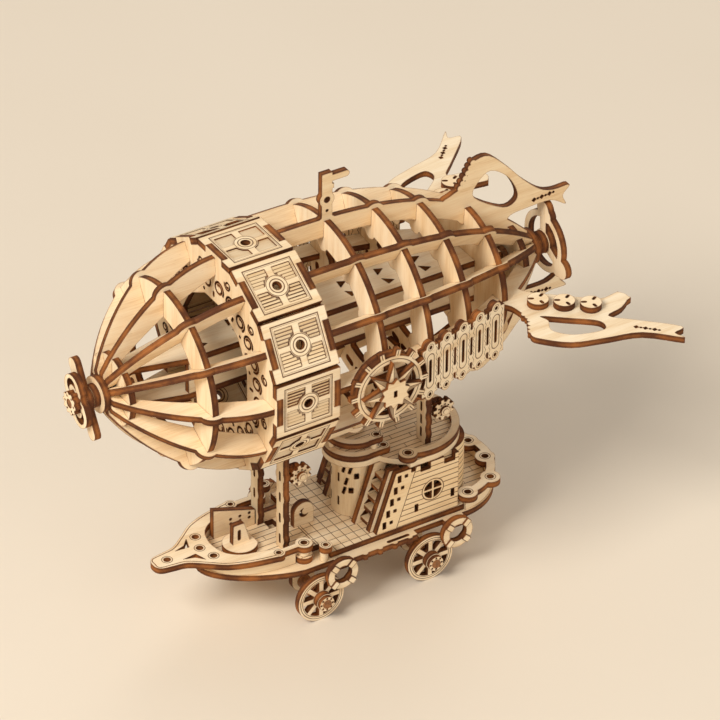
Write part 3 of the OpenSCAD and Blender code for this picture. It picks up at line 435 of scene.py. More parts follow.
class Engraver:
    """Works out where the burnt lines of a pattern lie: 1 on a line, 0 off it; the band panels' pattern
    also holds painted shade on the floors of their sunk fields.
    """

    def __init__(self, board: Board, reader: SheetReader, sheet: SheetWires) -> None:
        """Keeps the readings of the sheet that is engraved."""
        self.board = board
        self.reader = reader
        self.sheet = sheet

    def burn(self, pattern: Engraving) -> Wire | None:
        """The mask of one pattern, or None where nothing is engraved."""
        makers = {Engraving.PANEL: self.panel, Engraving.COMPASS_RING: self.compass_ring,
                  Engraving.COMPASS_STAR: self.compass_star, Engraving.GRILLE: self.grille,
                  Engraving.DECK: self.deck, Engraving.UPPER_DECK: self.upper_deck,
                  Engraving.CABIN: self.cabin, Engraving.STERN: self.stern,
                  Engraving.FRONT_WHEELS: self.front_wheels, Engraving.REAR_WHEELS: self.rear_wheels,
                  Engraving.LIFEBUOY: self.lifebuoy}
        return makers[pattern]() if pattern in makers else None

    def stroke(self, distance: Wire, width: float) -> Wire:
        """A line of that width where the distance is 0."""
        return self.board.ease(abs(distance), 0.65 * width, 0.3 * width)

    def rules(self, place: Wire, pitch: float, width: float) -> Wire:
        """Parallel lines, one to a pitch."""
        return self.stroke(place.wrapped(pitch), width)

    @staticmethod
    def union(*masks: Wire) -> Wire:
        """The strongest of some masks at each point."""
        return reduce(Wire.largest, masks)

    def polar(self, centre: Pair) -> tuple[Wire, Wire]:
        """Radius and angle about a point of the side view."""
        east, up = self.reader.x - centre[0], self.reader.z - centre[1]
        return east.hypot(up), self.board.math("ARCTAN2", up, east)

    def eyes(self, eyes: tuple[Triple, ...]) -> Wire:
        """A ring round each eye of a rail, given by x, distance from the middle and hole radius."""
        return self.union(*(
            self.stroke((self.reader.x - x).hypot(abs(self.reader.y) - y) - (r + MARKS.eye_gap), 0.4)
            for x, y, r in eyes))

    def painted_shade_sunk_floor(self) -> Wire:
        """Painted shade on the floor of a sunk field: dark brown in the gaps under the slats, a light
        golden shade on the plain panels.
        """
        top, bottom = (PLACES.bag_r - depth for depth in MARKS.sunk)
        floor = (self.sheet.depth < top) * (self.sheet.depth > bottom)
        plain = [abs(self.sheet.plate - number) < 0.5 for number in MARKS.plain_panels]
        return floor * (0.85 - sum(plain[1:], plain[0]) * 0.62)

    def panel(self) -> Wire:
        """Two nested frames and two rings round the hole, burnt in, and painted shade on the floors of the
        sunk fields.
        """
        east, side = abs(self.reader.x - PLACES.band_x), abs(self.sheet.across)
        radius = east.hypot(side)
        frames = [(east - fore).largest(side - out) for fore, out in (MARKS.panel_frame, MARKS.inner_frame)]
        outer, inner = self.stroke(frames[0], 0.6), self.stroke(frames[1], 0.3) * 0.6
        rings = [self.stroke(radius - ring, width) for ring, width in zip(MARKS.panel_rings, (0.34, 0.55))]
        return self.union(outer, inner, *rings, self.painted_shade_sunk_floor())

    def compass_ring(self) -> Wire:
        """A circle on the rim and a line down each of the fourteen pegs."""
        radius, angle = self.polar(PLACES.compass)
        pegs = self.stroke(angle.wrapped(math.tau / MARKS.pegs) * radius, 0.5) * (radius > MARKS.peg_foot)
        return self.stroke(radius - MARKS.compass_circle, 0.45).largest(pegs)

    def compass_star(self) -> Wire:
        """One half of each of the eight points is shaded, with a line down its middle."""
        radius, angle = self.polar(PLACES.compass)
        half = angle.wrapped(math.tau / MARKS.star_points)
        shade = (half > 0.0) * 0.72
        return shade.largest(self.stroke(half * radius, 0.35)) * (self.sheet.depth < PLACES.star_top)

    def grille(self) -> Wire:
        """A loop round each slot, a ring round each lobe hole and a zigzag between the units."""
        fore = PLACES.grille[0] - self.reader.x
        inward = PLACES.grille[1] - abs(self.reader.y)
        run = fore * math.cos(PLACES.grille_turn) + inward * math.sin(PLACES.grille_turn)
        pitch = PLACES.grille_pitch
        unit = run - ((run / pitch).floor() + 0.5) * pitch
        up = abs(self.reader.z - PLACES.grille_z)
        loop = self.stroke(unit.hypot((up - MARKS.slot_half).largest(0.0)) - MARKS.loop_r, 0.5)
        ring = self.stroke(unit.hypot(up - MARKS.lobe_up) - MARKS.lobe_ring, 0.3)
        swing = abs((up / MARKS.zigzag_pitch).fraction() - 0.5) * MARKS.zigzag_swing
        zigzag = self.stroke(abs(unit) - MARKS.zigzag_out - swing, 0.3) * (up < MARKS.zigzag_top)
        return self.union(loop, ring, zigzag)

    def planks(self, pitch: float, joint: float) -> Wire:
        """Long lines between the planks of a deck, with staggered butt joints."""
        over, run = self.reader.y, self.reader.x
        row = (over / pitch).floor()
        joints = self.stroke((run + row * joint * MARKS.stagger).wrapped(joint), 0.36)
        return self.stroke((over / pitch).wrapped(1.0) * pitch, 0.42).largest(joints * 0.8)

    def deck(self) -> Wire:
        """Planks on the fore deck and round the stern, square tiles round the tower."""
        aft, fore = MARKS.tiled
        tiled = (self.reader.x < fore) * (self.reader.x > aft)
        tiles = [self.rules(way, MARKS.tile, 0.36) for way in (self.reader.x, self.reader.y)]
        border = self.stroke(self.reader.x - fore, 0.5)
        lines = self.union(self.planks(*MARKS.plank) * (1.0 - tiled), self.union(*tiles) * tiled, border)
        return lines * (self.reader.signed[2] > 0.5)

    def upper_deck(self) -> Wire:
        """Planks along the model."""
        return self.planks(*MARKS.upper_plank) * (self.reader.signed[2] > 0.5)

    def cabin(self) -> Wire:
        """Level planks behind a raked plain strip, and a ring round the window."""
        up = self.reader.z - PLACES.deck_top
        strip = self.reader.x + up * (MARKS.wall_rake / PLACES.cabin_h) - MARKS.strip_x
        radius, _ = self.polar((MARKS.window_x, PLACES.deck_top + MARKS.window_rise * PLACES.cabin_h))
        ring, clear = MARKS.window_rings
        planks = self.stern() * (strip < 0.0) * (radius > clear)
        return self.union(planks, self.stroke(strip, 0.45), self.stroke(radius - ring, 0.5))

    def stern(self) -> Wire:
        """Level planks of the deck house."""
        return self.rules(self.reader.z - PLACES.deck_top, PLACES.cabin_h / MARKS.wall_planks, 0.46)

    def front_wheels(self) -> Wire:
        """Rim circles of the front wheels."""
        return self.wheel(PLACES.front_axle_x)

    def rear_wheels(self) -> Wire:
        """Rim circles of the rear wheels."""
        return self.wheel(PLACES.rear_axle_x)

    def wheel(self, x: float) -> Wire:
        """Two circles on the rim of the wheels at that axle."""
        radius, _ = self.polar((x, PLACES.wheel_r))
        outer, inner = MARKS.rim_circles
        return self.stroke(radius - outer, 0.4).largest(self.stroke(radius - inner, 0.35))

    def lifebuoy(self) -> Wire:
        """Lines at the edges of the four bands of each ring."""
        fore = self.reader.x > MARKS.buoys_part_x
        east = self.reader.x - (fore * MARKS.buoy_step[0] + MARKS.rear_buoy[0])
        up = self.reader.z - (fore * MARKS.buoy_step[1] + MARKS.rear_buoy[1])
        radius, angle = east.hypot(up), self.board.math("ARCTAN2", up, east)
        band = (angle - math.pi / 4).wrapped(math.pi / 2)
        return self.stroke(abs(band) * radius - MARKS.buoy_band, 0.45)


@dataclass(frozen=True)
class BirchPly:
    """Laser-cut birch plywood: pale grained faces, scorched layered edges, burnt lines.

    The capital names are waves to a millimetre, or the values between which a mask rises from 0 to 1.
    """

    SHIFTS, PLATE_SHIFT = 997, 7.3
    FINE_WAVES, GRIT_WAVES, PATCH_WAVES = (1.1, 1.1, 1.1), (2.2, 2.2, 2.2), (0.07, 0.1, 0.1)
    SCORCHED, SCORCH_MOST = (0.12, 0.62), 0.8
    FACING = (0.72, 0.86)
    FLECKED = (0.69, 0.8)
    CORE, RIM = (0.24, 0.13), (0.41, 0.48)
    GLUE_PLACE, GLUE = 0.18, (0.05, 0.015)
    WARMED = (0.38, 0.74)

    lie: SheetLie
    middle: float = 0.0
    engraving: Engraving = Engraving.NONE
    # Darkens the whole sheet: a random tone on some nodes, painted shade on those that lie in shade, such
    # as the tower, stairs and wings.
    tone_and_painted_shade: float = 1.0
    # Makes the whole sheet warmer and yellower: painted golden shade, on the deck house, tower, stairs,
    # slats and top fin.
    painted_shade_warmth: float = 0.0
    eyes: tuple[Triple, ...] = ()
    reach: float = 0.7
    pale: Colour = tint(250, 234, 206)
    birch: Colour = tint(243, 221, 187)
    streak: Colour = tint(226, 195, 152)
    fleck: Colour = tint(176, 130, 84)
    scorch: Colour = tint(136, 84, 42)
    # The line colour also paints the shade on the sunk floors of the band panels.
    line: Colour = tint(92, 54, 26)
    amber: Colour = tint(164, 99, 45)
    brown: Colour = tint(84, 43, 15)
    char: Colour = tint(40, 17, 5)

    def material(self, name: str) -> bpy.types.Material:
        """Builds the finish for one node.

        Args:
            name: name of the node that wears it; it also shifts the grain.

        Returns:
            The material.
        """
        board = Board(f"birch_{name}")
        reader = SheetReader(board)
        sheet = reader.read(self.lie)
        shift = zlib.crc32(name.encode()) % self.SHIFTS
        seed = sheet.plate * self.PLATE_SHIFT + shift if isinstance(sheet.plate, Wire) else float(shift)
        face = self.face_colour(board, sheet, seed)
        halo = self.halo(board)
        fine = reader.cloud(self.FINE_WAVES, 3.0)
        burn = board.ease(halo + (fine - 0.5) * 0.22, *self.SCORCHED)
        face = board.mix(burn * self.SCORCH_MOST, face, self.scorch)
        lines = self.lines(board, reader, sheet)
        relief = fine * 0.15
        # On the band panels the lines include painted shade on the sunk floors, in the line colour.
        if lines is not None:
            face = board.mix(lines * (0.72 + fine * 0.35), face, self.line)
            relief = relief - lines
        edge = self.edge_colour(board, reader, sheet)
        flat = board.ease(sheet.facing, *self.FACING)
        colour = board.mix(flat, edge, face)
        bump = board.node("ShaderNodeBump", None,
                          {"Strength": 0.35, "Distance": 0.25 * MM, "Height": relief})
        return board.surface({"Base Color": colour, "Roughness": 0.74 - flat * 0.16 + fine * 0.08,
                              "Normal": bump, "Specular IOR Level": 0.32})

    def face_colour(self, board: Board, sheet: SheetWires, seed: Wire | Number) -> Wire:
        """Pale veneer with figure, fibres and flecks along the grain, warmer at random on some sheets, and
        darker and warmer where a node is given painted shade.
        """
        figure = board.noise(board.vector(sheet.along * 0.022, sheet.across * 0.2, seed), 3.0, 0.55)
        fibre = board.noise(board.vector(sheet.along * 0.09, sheet.across * 2.6, seed), 3.0, 0.6)
        shade = figure * 0.6 + fibre * 0.4
        face = board.node("ShaderNodeValToRGB", {"stops": [(0.34, self.streak), (0.5, self.birch),
                                                           (0.66, self.pale)]}, {"Fac": shade})
        spots = board.noise(board.vector(sheet.along * 0.35, sheet.across * 3.4, seed), 1.0)
        face = board.mix(board.ease(spots, *self.FLECKED) * 0.4, face, self.fleck)
        chance = board.node("ShaderNodeTexWhiteNoise", {"noise_dimensions": "1D"}, {"W": seed}, "Value")
        # Brightness: a random tone per sheet times the node's setting, which is painted shade on some
        # nodes; the warmth is random per sheet plus painted golden shade.
        level = (chance * 0.09 + 0.955) * self.tone_and_painted_shade
        warm = (1.0 - chance) * 0.05 + self.painted_shade_warmth
        veneer = board.node("ShaderNodeCombineColor", None,
                            {0: level, 1: level * (1.0 - warm), 2: level * (1.0 - warm * 2.6)})
        return board.mix(1.0, face, veneer, "MULTIPLY")

    def halo(self, board: Board) -> Wire:
        """How near a cut edge is, from the share of the inside that a short way meets a wall."""
        open_ = board.node("ShaderNodeAmbientOcclusion", {"inside": True, "only_local": True, "samples": 8},
                           {"Distance": self.reach * MM}, "AO")
        return 1.0 - open_

    def lines(self, board: Board, reader: SheetReader, sheet: SheetWires) -> Wire | None:
        """The burnt lines of the finish, rings round eyes included, and on the band panels the painted
        shade of the sunk floors.
        """
        engraver = Engraver(board, reader, sheet)
        burnt = engraver.burn(self.engraving)
        if not self.eyes:
            return burnt
        rings = engraver.eyes(self.eyes)
        return rings if burnt is None else burnt.largest(rings)

    def edge_colour(self, board: Board, reader: SheetReader, sheet: SheetWires) -> Wire:
        """Cut edge: three layers, darker glue lines and borders, burnt in patches."""
        layer = ((sheet.depth - self.middle) / PLACES.ply + 0.5).fraction()
        off = abs(layer - 0.5)
        core, rim = board.ease(off, *self.CORE), board.ease(off, *self.RIM)
        glue = board.ease(abs(off - self.GLUE_PLACE), *self.GLUE)
        patch = reader.cloud(self.PATCH_WAVES, 3.0, 0.55)
        grit = reader.cloud(self.GRIT_WAVES, 2.0)
        warm = board.ease(patch * 0.8 + grit * 0.12 + core * 0.08, *self.WARMED)
        layers = board.mix(warm, self.brown, self.amber)
        dark = (glue * 0.25).largest(rim * 0.7)
        return board.mix(dark, layers, self.char)


@dataclass(frozen=True)
class Dowel:
    """A turned birch dowel with a rubbed, slightly dark surface."""

    GRAIN_WAVES, RUB_WAVES = (0.9, 0.5, 1.6), (0.2, 0.2, 0.2)
    light: Colour = tint(158, 104, 58)
    dark: Colour = tint(104, 62, 30)

    def material(self, name: str) -> bpy.types.Material:
        """Builds the finish for one node."""
        board = Board(f"dowel_{name}")
        reader = SheetReader(board)
        grain, rub = reader.cloud(self.GRAIN_WAVES, 3.0), reader.cloud(self.RUB_WAVES, 2.0)
        colour = board.mix(board.ease(grain * 0.6 + rub * 0.4, 0.35, 0.65), self.dark, self.light)
        bump = board.node("ShaderNodeBump", None, {"Strength": 0.3, "Distance": 0.2 * MM, "Height": grain})
        return board.surface({"Base Color": colour, "Roughness": 0.5 + rub * 0.2, "Normal": bump})


@dataclass(frozen=True)
class BurntLine:
    """A line burnt into the veneer, darker where the beam slowed."""

    PATCH_WAVES = (0.5, 0.5, 0.5)
    dark: Colour = tint(80, 42, 16)
    light: Colour = tint(128, 76, 34)

    def material(self, name: str) -> bpy.types.Material:
        """Builds the finish of the burnt lines."""
        board = Board(f"burnt_{name}")
        reader = SheetReader(board)
        patch = reader.cloud(self.PATCH_WAVES, 3.0)
        colour = board.mix(board.ease(patch, 0.35, 0.65), self.dark, self.light)
        return board.surface({"Base Color": colour, "Roughness": 0.7 + patch * 0.2})


@dataclass(frozen=True)
class PaleFloor:
    """A plain pale floor with the faintest mottling."""

    light: Colour = tint(233, 221, 204)
    dark: Colour = tint(228, 215, 197)

    def material(self) -> bpy.types.Material:
        """Builds the floor finish."""
        board = Board("pale_floor")
        place = board.node("ShaderNodeTexCoord", None, None, "Object")
        cloud = board.node("ShaderNodeTexNoise", None, {"Vector": place, "Scale": 6.0, "Detail": 2.0})
        return board.surface({"Base Color": board.mix(cloud, self.dark, self.light), "Roughness": 0.7})


Finish = BirchPly | Dowel


class Surfaces:
    """Turns whole arrays of points into meshes."""

    @staticmethod
    def mesh(name: str, points: np.ndarray, quads: np.ndarray) -> bpy.types.Object:
        """A new object at the origin.

        Args:
            name: name of the piece.
            points: all points in millimetres, one row each.
            quads: four point numbers to a face, outward by the right hand.

        Returns:
            The object, linked into the scene.
        """
        data = bpy.data.meshes.new(name)
        data.from_pydata((points * MM).tolist(), [], quads.tolist())
        data.update()
        made = bpy.data.objects.new(name, data)
        bpy.context.scene.collection.objects.link(made)
        return made

    @staticmethod
    def bars(corners: np.ndarray) -> tuple[np.ndarray, np.ndarray]:
        """Closed bars from their end profiles.

        Args:
            corners: bars x 2 ends x 4 profile corners x 3 values; the profile turns counter-clockwise
                seen from the second end.

        Returns:
            The points and the faces: four long sides and two ends to a bar.
        """
        side = np.arange(4)
        following = (side + 1) % 4
        walls = np.stack([side, following, following + 4, side + 4], axis=1)
        one = np.concatenate([walls, [[3, 2, 1, 0]], [[4, 5, 6, 7]]])
        starts = 8 * np.arange(len(corners))[:, None, None]
        return corners.reshape(-1, 3), (one[None] + starts).reshape(-1, 4)

    @staticmethod
    def ribbon(path: np.ndarray, width: float, low: float, high: float) -> tuple[np.ndarray, np.ndarray]:
        """A flat strip with a four-cornered profile carried along an open level path.

        Args:
            path: points x 2 values.
            width: width of the strip.
            low: height of its underside.
            high: height of its top.

        Returns:
            The points and the faces, ends closed.
        """
        way = np.gradient(path, axis=0)
        normal = np.stack([-way[:, 1], way[:, 0]], axis=1) / np.linalg.norm(way, axis=1)[:, None]
        left, right = path + normal * width / 2, path - normal * width / 2
        level = np.array([low, low, high, high])
        flat = np.stack([left, right, right, left], axis=1)
        points = np.concatenate([flat, np.broadcast_to(level[None, :, None], (len(path), 4, 1))], axis=2)
        rows, side = np.meshgrid(np.arange(len(path) - 1), np.arange(4), indexing="ij")
        following = (side + 1) % 4
        here, there = 4 * rows, 4 * rows + 4
        corners = [here + side, here + following, there + following, there + side]
        walls = np.stack(corners, axis=2).reshape(-1, 4)
        last = 4 * (len(path) - 1)
        ends = np.array([[3, 2, 1, 0], [last, last + 1, last + 2, last + 3]])
        return points.reshape(-1, 3), np.concatenate([walls[:, ::-1], ends[:, ::-1]])

    @staticmethod
    def smooth(corners: np.ndarray, steps: int) -> np.ndarray:
        """A smooth open curve through control points, cubic between each two of them."""
        ahead = np.concatenate([[2 * corners[0] - corners[1]], corners, [2 * corners[-1] - corners[-2]]])
        a, b, c, d = (ahead[i:len(ahead) - 3 + i, None, :] for i in range(4))
        t = np.linspace(0.0, 1.0, steps, endpoint=False)[None, :, None]
        curve = 0.5 * (2 * b + (c - a) * t + (2 * a - 5 * b + 4 * c - d) * t ** 2
                       + (3 * b - a - 3 * c + d) * t ** 3)
        return np.concatenate([curve.reshape(-1, 2), corners[-1:]])


class SubAssembly:
    """A group of CAD nodes with their finishes, and the pieces added to them."""

    def finishes(self) -> dict[str, Finish]:
        """The finish of each node of the group."""
        return {}

    def build(self) -> list[bpy.types.Object]:
        """The pieces that the looks add to the group."""
        return []

    def dress(self) -> None:
        """Puts each node's finish on its mesh."""
        for name, finish in self.finishes().items():
            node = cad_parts[name]
            node.data.materials.clear()
            node.data.materials.append(finish.material(name))
            LOG.info("dressed %s", name)


@dataclass
class Envelope(SubAssembly):
    """Ribs, rings, frames, spine and the panelled band."""

    slatted: tuple[int, ...] = (0, 30, 60, 120, 150, 180, 240, 300)
    slats: int = 5
    sunk_low: Pair = (1.6, 1.2)
    sunk_high: Pair = (10.2, 8.8)
    sunk_depth: float = 0.7
    panel_middle: float = 49.5
    boss_r: float = 5.2
    boss_gap: float = 0.15
    end_gap: float = 0.1
    slat_shares: Pair = (0.42, 0.36)
    slat_rise: Pair = (0.1, 0.52)
    slat_root: float = 0.05

    def finishes(self) -> dict[str, Finish]:
        """Ply for every sheet of the envelope."""
        across, spoke = SheetLie.ACROSS, SheetLie.SPOKE
        return {
            "nose_ribs": BirchPly(spoke), "nose_ring": BirchPly(across, 78.3),
            "hub_discs": BirchPly(across, 105.7, tone_and_painted_shade=0.9), "nose_cap": BirchPly(across, 110.8),
            "tail_cap": BirchPly(across, -103.2), "band_front_ring": BirchPly(across, 53.3, tone_and_painted_shade=0.98),
            "band_rear_ring": BirchPly(across, 25.3, tone_and_painted_shade=0.92),
            "band_panels": BirchPly(SheetLie.DRUM, self.panel_middle, Engraving.PANEL),
            "ring_frame_1": BirchPly(across, 0.3), "ring_frame_2": BirchPly(across, -23.3),
            "ring_frame_3": BirchPly(across, -45.9), "ring_frame_4": BirchPly(across, -70.3),
            "spine_plates": BirchPly(SheetLie.LEVEL, 144.0, tone_and_painted_shade=0.95),
            "spine_sides": BirchPly(SheetLie.ALONG, 9.0, tone_and_painted_shade=0.95),
            "upper_stringers": BirchPly(spoke), "lower_stringers": BirchPly(spoke)}

    def build(self) -> list[bpy.types.Object]:
        """Slats of the louvred panels.

        Each slat is a wedge, low at the edge near the panel's middle line and high at the other, carried
        along the model inside its sunk field and cut short where the round boss stands.
        """
        step = (self.sunk_high[1] - self.sunk_low[1]) / self.slats
        rows = self.sunk_low[1] + step * (np.arange(self.slats) + 0.5)
        near, far = rows - self.slat_shares[0] * step, rows + self.slat_shares[1] * step
        start = np.sqrt(np.maximum(self.boss_r ** 2 - near ** 2, 0.0)) + self.boss_gap
        start = np.maximum(start, self.sunk_low[0] + self.end_gap)
        end = np.full(self.slats, self.sunk_high[0] - self.end_gap)
        floor = PLACES.bag_r - self.sunk_depth
        side = np.stack([near, far, far, near], axis=1)
        low, high = self.slat_rise
        out = floor + np.array([-self.slat_root, -self.slat_root, high, low])
        local = np.empty((self.slats, 2, 4, 3))
        local[:, 0, :, 0], local[:, 1, :, 0] = start[:, None], end[:, None]
        local[..., 1] = out
        local[..., 2] = side[:, None, :]
        signs = np.array([[1, 1], [-1, 1], [1, -1], [-1, -1]], float)
        flips = np.stack([signs[:, 0], np.ones(4), signs[:, 1]], axis=1)
        quadrants = local[None] * flips[:, None, None, None]
        quadrants[[1, 2]] = quadrants[[1, 2]][:, :, :, ::-1]
        turns = np.radians(np.array(self.slatted, float))
        cosine, sine = np.cos(turns)[:, None, None, None, None], np.sin(turns)[:, None, None, None, None]
        out_, round_ = quadrants[None, ..., 1], quadrants[None, ..., 2]
        points = np.stack(np.broadcast_arrays(quadrants[None, ..., 0] + PLACES.band_x,
                                              out_ * cosine - round_ * sine,
                                              out_ * sine + round_ * cosine + PLACES.axis_z), axis=-1)
        corners = points.reshape(-1, 2, 4, 3)[:, :, ::-1]
        slats = Surfaces.mesh("louvre_slats", *Surfaces.bars(corners))
        # The slats are painted a little darker and warmer: painted shade inside the sunk fields.
        finish = BirchPly(SheetLie.DRUM, self.panel_middle, tone_and_painted_shade=0.95, painted_shade_warmth=0.04, reach=0.2)
        slats.data.materials.append(finish.material("louvre_slats"))
        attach(slats, "airship")
        return [slats]


@dataclass
class TailFins(SubAssembly):
    """Fins, wings and the discs on them."""

    def finishes(self) -> dict[str, Finish]:
        """Ply for fins and wings."""
        spoke = SheetLie.SPOKE
        # The top fin is painted a little warmer and the wings a little darker: painted shade.
        return {"top_stringer": BirchPly(spoke, painted_shade_warmth=0.03), "bottom_stringer": BirchPly(spoke),
                "port_wing": BirchPly(spoke, tone_and_painted_shade=0.95), "starboard_wing": BirchPly(spoke, tone_and_painted_shade=0.95),
                "wing_discs": BirchPly(SheetLie.LEVEL, 138.0)}


@dataclass
class SideTrim(SubAssembly):
    """Compass and grille on each side."""

    def finishes(self) -> dict[str, Finish]:
        """Ply with the trim's burnt lines."""
        along = SheetLie.ALONG
        return {"compass_backs": BirchPly(along, 52.6, tone_and_painted_shade=0.9),
                "compass_rings": BirchPly(along, 55.6, Engraving.COMPASS_RING),
                "compass_stars": BirchPly(along, 58.6, Engraving.COMPASS_STAR),
                "grilles": BirchPly(along, 49.0, Engraving.GRILLE)}


@dataclass
class Propellers(SubAssembly):
    """Both propellers with their caps and shafts."""

    def finishes(self) -> dict[str, Finish]:
        """Ply plates and dowel shafts."""
        across = SheetLie.ACROSS
        return {"nose_propeller_back": BirchPly(across, 117.2, tone_and_painted_shade=0.95),
                "nose_propeller": BirchPly(across, 120.2), "nose_propeller_cap": BirchPly(across, 123.2),
                "tail_propeller": BirchPly(across, -112.6), "tail_propeller_cap": BirchPly(across, -115.6),
                "nose_shaft": Dowel(), "tail_shaft": Dowel()}


@dataclass
class Hull(SubAssembly):
    """Hull plies, rails and deck fittings."""

    ply_middle: float = 22.2
    rail_top: float = 35.7
    rail_tip: Pair = (85.0, 0.0)
    rail_side: tuple[Pair, ...] = ((84.2, 3.3), (78.3, 4.3), (72.1, 5.5), (64.9, 10.6),
                                   (58.0, 15.7), (49.2, 19.0), (41.0, 20.9), (36.6, 21.6))
    line_width: float = 0.4
    line_half: float = 0.03
    line_steps: int = 8

    def finishes(self) -> dict[str, Finish]:
        """Ply for the hull and its fittings."""
        level, shell, middle = SheetLie.LEVEL, SheetLie.SHELL, self.ply_middle
        bow_eyes = ((35.2, 20.4, 1.2), (22.2, 19.9, 1.5), (14.9, 26.0, 1.2), (60.3, 7.8, 1.6),
                    (62.7, 0.0, 1.6), (78.9, 0.0, 1.6))
        stern_eyes = ((-58.5, 25.3, 1.6), (-73.1, 21.0, 1.6), (-79.4, 6.9, 1.6))
        return {"hull_floor": BirchPly(level, middle, tone_and_painted_shade=0.96), "stern_bulwark": BirchPly(shell, middle),
                "main_deck": BirchPly(level, middle, Engraving.DECK),
                "bow_rail": BirchPly(level, middle, tone_and_painted_shade=0.97, eyes=bow_eyes),
                "stern_rail": BirchPly(level, middle, eyes=stern_eyes),
                "bow_wall": BirchPly(shell, middle), "rail_spacers": BirchPly(shell, middle),
                "keel_ribs": BirchPly(SheetLie.ALONG, 14.0, tone_and_painted_shade=0.92),
                "bow_seat": BirchPly(SheetLie.SEAT, middle),
                "partitions": BirchPly(SheetLie.ALONG, 10.7),
                "lifebuoys": BirchPly(SheetLie.ALONG, 32.7, Engraving.LIFEBUOY)}

    def build(self) -> list[bpy.types.Object]:
        """A line burnt along the outer edge of the bow rail: a thin flat strip on a smooth curve."""
        side = np.array(self.rail_side)
        outline = np.concatenate([side[::-1] * [1.0, -1.0], [self.rail_tip], side])
        path = Surfaces.smooth(outline, self.line_steps)
        low, high = self.rail_top - self.line_half, self.rail_top + self.line_half
        line = Surfaces.mesh("bow_rail_line", *Surfaces.ribbon(path, self.line_width, low, high))
        line.data.materials.append(BurntLine().material("bow_rail_line"))
        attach(line, "airship")
        return [line]


@dataclass
class DeckHouse(SubAssembly):
    """Deck house, tower, stairs, upper deck and its rails."""

    deck_middle: float = 60.5

    def finishes(self) -> dict[str, Finish]:
        """Ply with planks and marks."""
        level, middle = SheetLie.LEVEL, self.deck_middle
        rear_eyes = ((-29.7, 21.1, 1.6),)
        front_eyes = ((-23.7, 10.5, 1.3), (-20.7, 9.4, 1.3))
        # The cabin and stern walls are painted warmer, and the tower and stairs darker and warmer: painted
        # shade under the envelope.
        return {"cabin_walls": BirchPly(SheetLie.ALONG, 23.5, Engraving.CABIN, painted_shade_warmth=0.06),
                "stern_wall": BirchPly(SheetLie.SHELL, 31.2, Engraving.STERN, painted_shade_warmth=0.06),
                "tower": BirchPly(SheetLie.TOWER, 7.9, tone_and_painted_shade=0.95, painted_shade_warmth=0.04),
                "stairs": BirchPly(SheetLie.STAIR, 12.0, tone_and_painted_shade=0.94, painted_shade_warmth=0.03),
                "upper_deck": BirchPly(SheetLie.BENT, middle, Engraving.UPPER_DECK),
                "upper_rear_rail": BirchPly(level, middle, eyes=rear_eyes),
                "upper_front_rails": BirchPly(level, middle, eyes=front_eyes)}


@dataclass
class RunningGear(SubAssembly):
    """Wheels, axles, posts and post gears."""

    wheel_middle: float = 29.2
    wheel_reach: float = 0.35
    front_gear: float = 12.0
    rear_gear: float = 15.9

    def finishes(self) -> dict[str, Finish]:
        """Ply wheels and gears, dowel axles."""
        along, post = SheetLie.ALONG, SheetLie.POST
        wheel, reach = self.wheel_middle, self.wheel_reach
        return {"front_wheels": BirchPly(along, wheel, Engraving.FRONT_WHEELS, reach=reach),
                "rear_wheels": BirchPly(along, wheel, Engraving.REAR_WHEELS, reach=reach),
                "front_axle": Dowel(), "rear_axle": Dowel(),
                "front_posts": BirchPly(post, 27.3), "rear_posts": BirchPly(post, -42.9),
                "gear_port_front": BirchPly(along, self.front_gear),
                "gear_starboard_front": BirchPly(along, self.front_gear),
                "gear_port_rear": BirchPly(along, self.rear_gear),
                "gear_starboard_rear": BirchPly(along, self.rear_gear)}


@dataclass(frozen=True)
class Lamp:
    """One square soft light: place and side in metres, power in watts."""

    name: str
    place: Triple
    side: float
    power: float
    colour: Triple = (1.0, 0.96, 0.9)


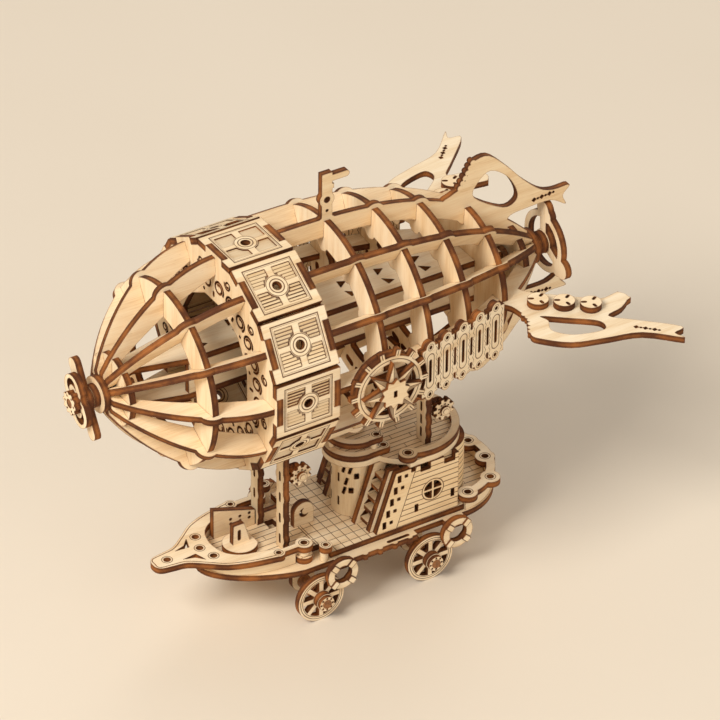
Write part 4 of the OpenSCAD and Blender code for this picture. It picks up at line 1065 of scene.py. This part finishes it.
@dataclass
class Studio:
    """Floor, soft lights and the camera at the photograph's angle."""

    target: Triple = (-17.9, 0.0, 105.5)
    eye: Triple = (994.4, 1605.1, 1436.9)
    lens: float = 269.43
    sensor: float = 36.0
    clip: Pair = (0.1, 50.0)
    roll: float = 0.687
    floor_half: float = 6.0
    air_strength: float = 0.4
    air_colour: Colour = tint(255, 248, 238)
    lamps: tuple[Lamp, ...] = (Lamp("key", (1.75, 0.55, 1.9), 1.0, 58.0, (1.0, 0.96, 0.89)),
                               Lamp("fill", (-0.4, 2.2, 1.0), 1.8, 11.0),
                               Lamp("back", (-1.5, -1.6, 1.6), 1.2, 11.0))

    def build(self) -> None:
        """Makes floor, lights, air and camera."""
        self.make_floor()
        for lamp in self.lamps:
            self.hang(lamp)
        self.make_air()
        self.make_camera()

    def make_floor(self) -> None:
        """A flat square of four corners at ground level."""
        half = self.floor_half / MM
        ends = np.array([[-half, -half], [half, -half], [half, half], [-half, half]])
        corners = np.concatenate([ends, np.zeros((4, 1))], axis=1)
        floor = Surfaces.mesh("floor", corners, np.array([[0, 1, 2, 3]]))
        floor.data.materials.append(PaleFloor().material())

    def hang(self, lamp: Lamp) -> None:
        """Makes one light, aimed at the model."""
        light = bpy.data.lights.new(lamp.name, "AREA")
        light.energy, light.size, light.color = lamp.power, lamp.side, lamp.colour
        hung = bpy.data.objects.new(lamp.name, light)
        hung.location = Vector(lamp.place)
        aim = Vector(self.target) * MM - hung.location
        hung.rotation_euler = aim.to_track_quat("-Z", "Y").to_euler()
        bpy.context.scene.collection.objects.link(hung)

    def make_air(self) -> None:
        """Even light from all round."""
        world = bpy.data.worlds.new("studio_air")
        world.use_nodes = True
        air = world.node_tree.nodes["Background"]
        air.inputs["Color"].default_value = self.air_colour
        air.inputs["Strength"].default_value = self.air_strength
        bpy.context.scene.world = world
        bpy.context.scene.view_settings.view_transform = "Standard"

    def make_camera(self) -> None:
        """Camera at the photograph's viewpoint, with its small roll."""
        data = bpy.data.cameras.new("camera")
        data.lens, data.sensor_width = self.lens, self.sensor
        data.clip_start, data.clip_end = self.clip
        camera = bpy.data.objects.new("camera", data)
        eye, target = Vector(self.eye) * MM, Vector(self.target) * MM
        look = (target - eye).to_track_quat("-Z", "Y").to_matrix()
        turn = Matrix.Rotation(math.radians(self.roll), 3, "Z")
        camera.matrix_world = Matrix.Translation(eye) @ (look @ turn).to_4x4()
        bpy.context.scene.collection.objects.link(camera)
        bpy.context.scene.camera = camera


def main() -> None:
    """Builds and dresses every sub-assembly, then the studio."""
    logging.basicConfig(level=logging.INFO, format="%(name)s: %(message)s")
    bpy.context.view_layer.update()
    for assembly in (Envelope(), TailFins(), SideTrim(), Propellers(), Hull(), DeckHouse(), RunningGear()):
        assembly.dress()
        for piece in assembly.build():
            LOG.info("built %s", piece.name)
    Studio().build()


if __name__ == "__main__":
    main()
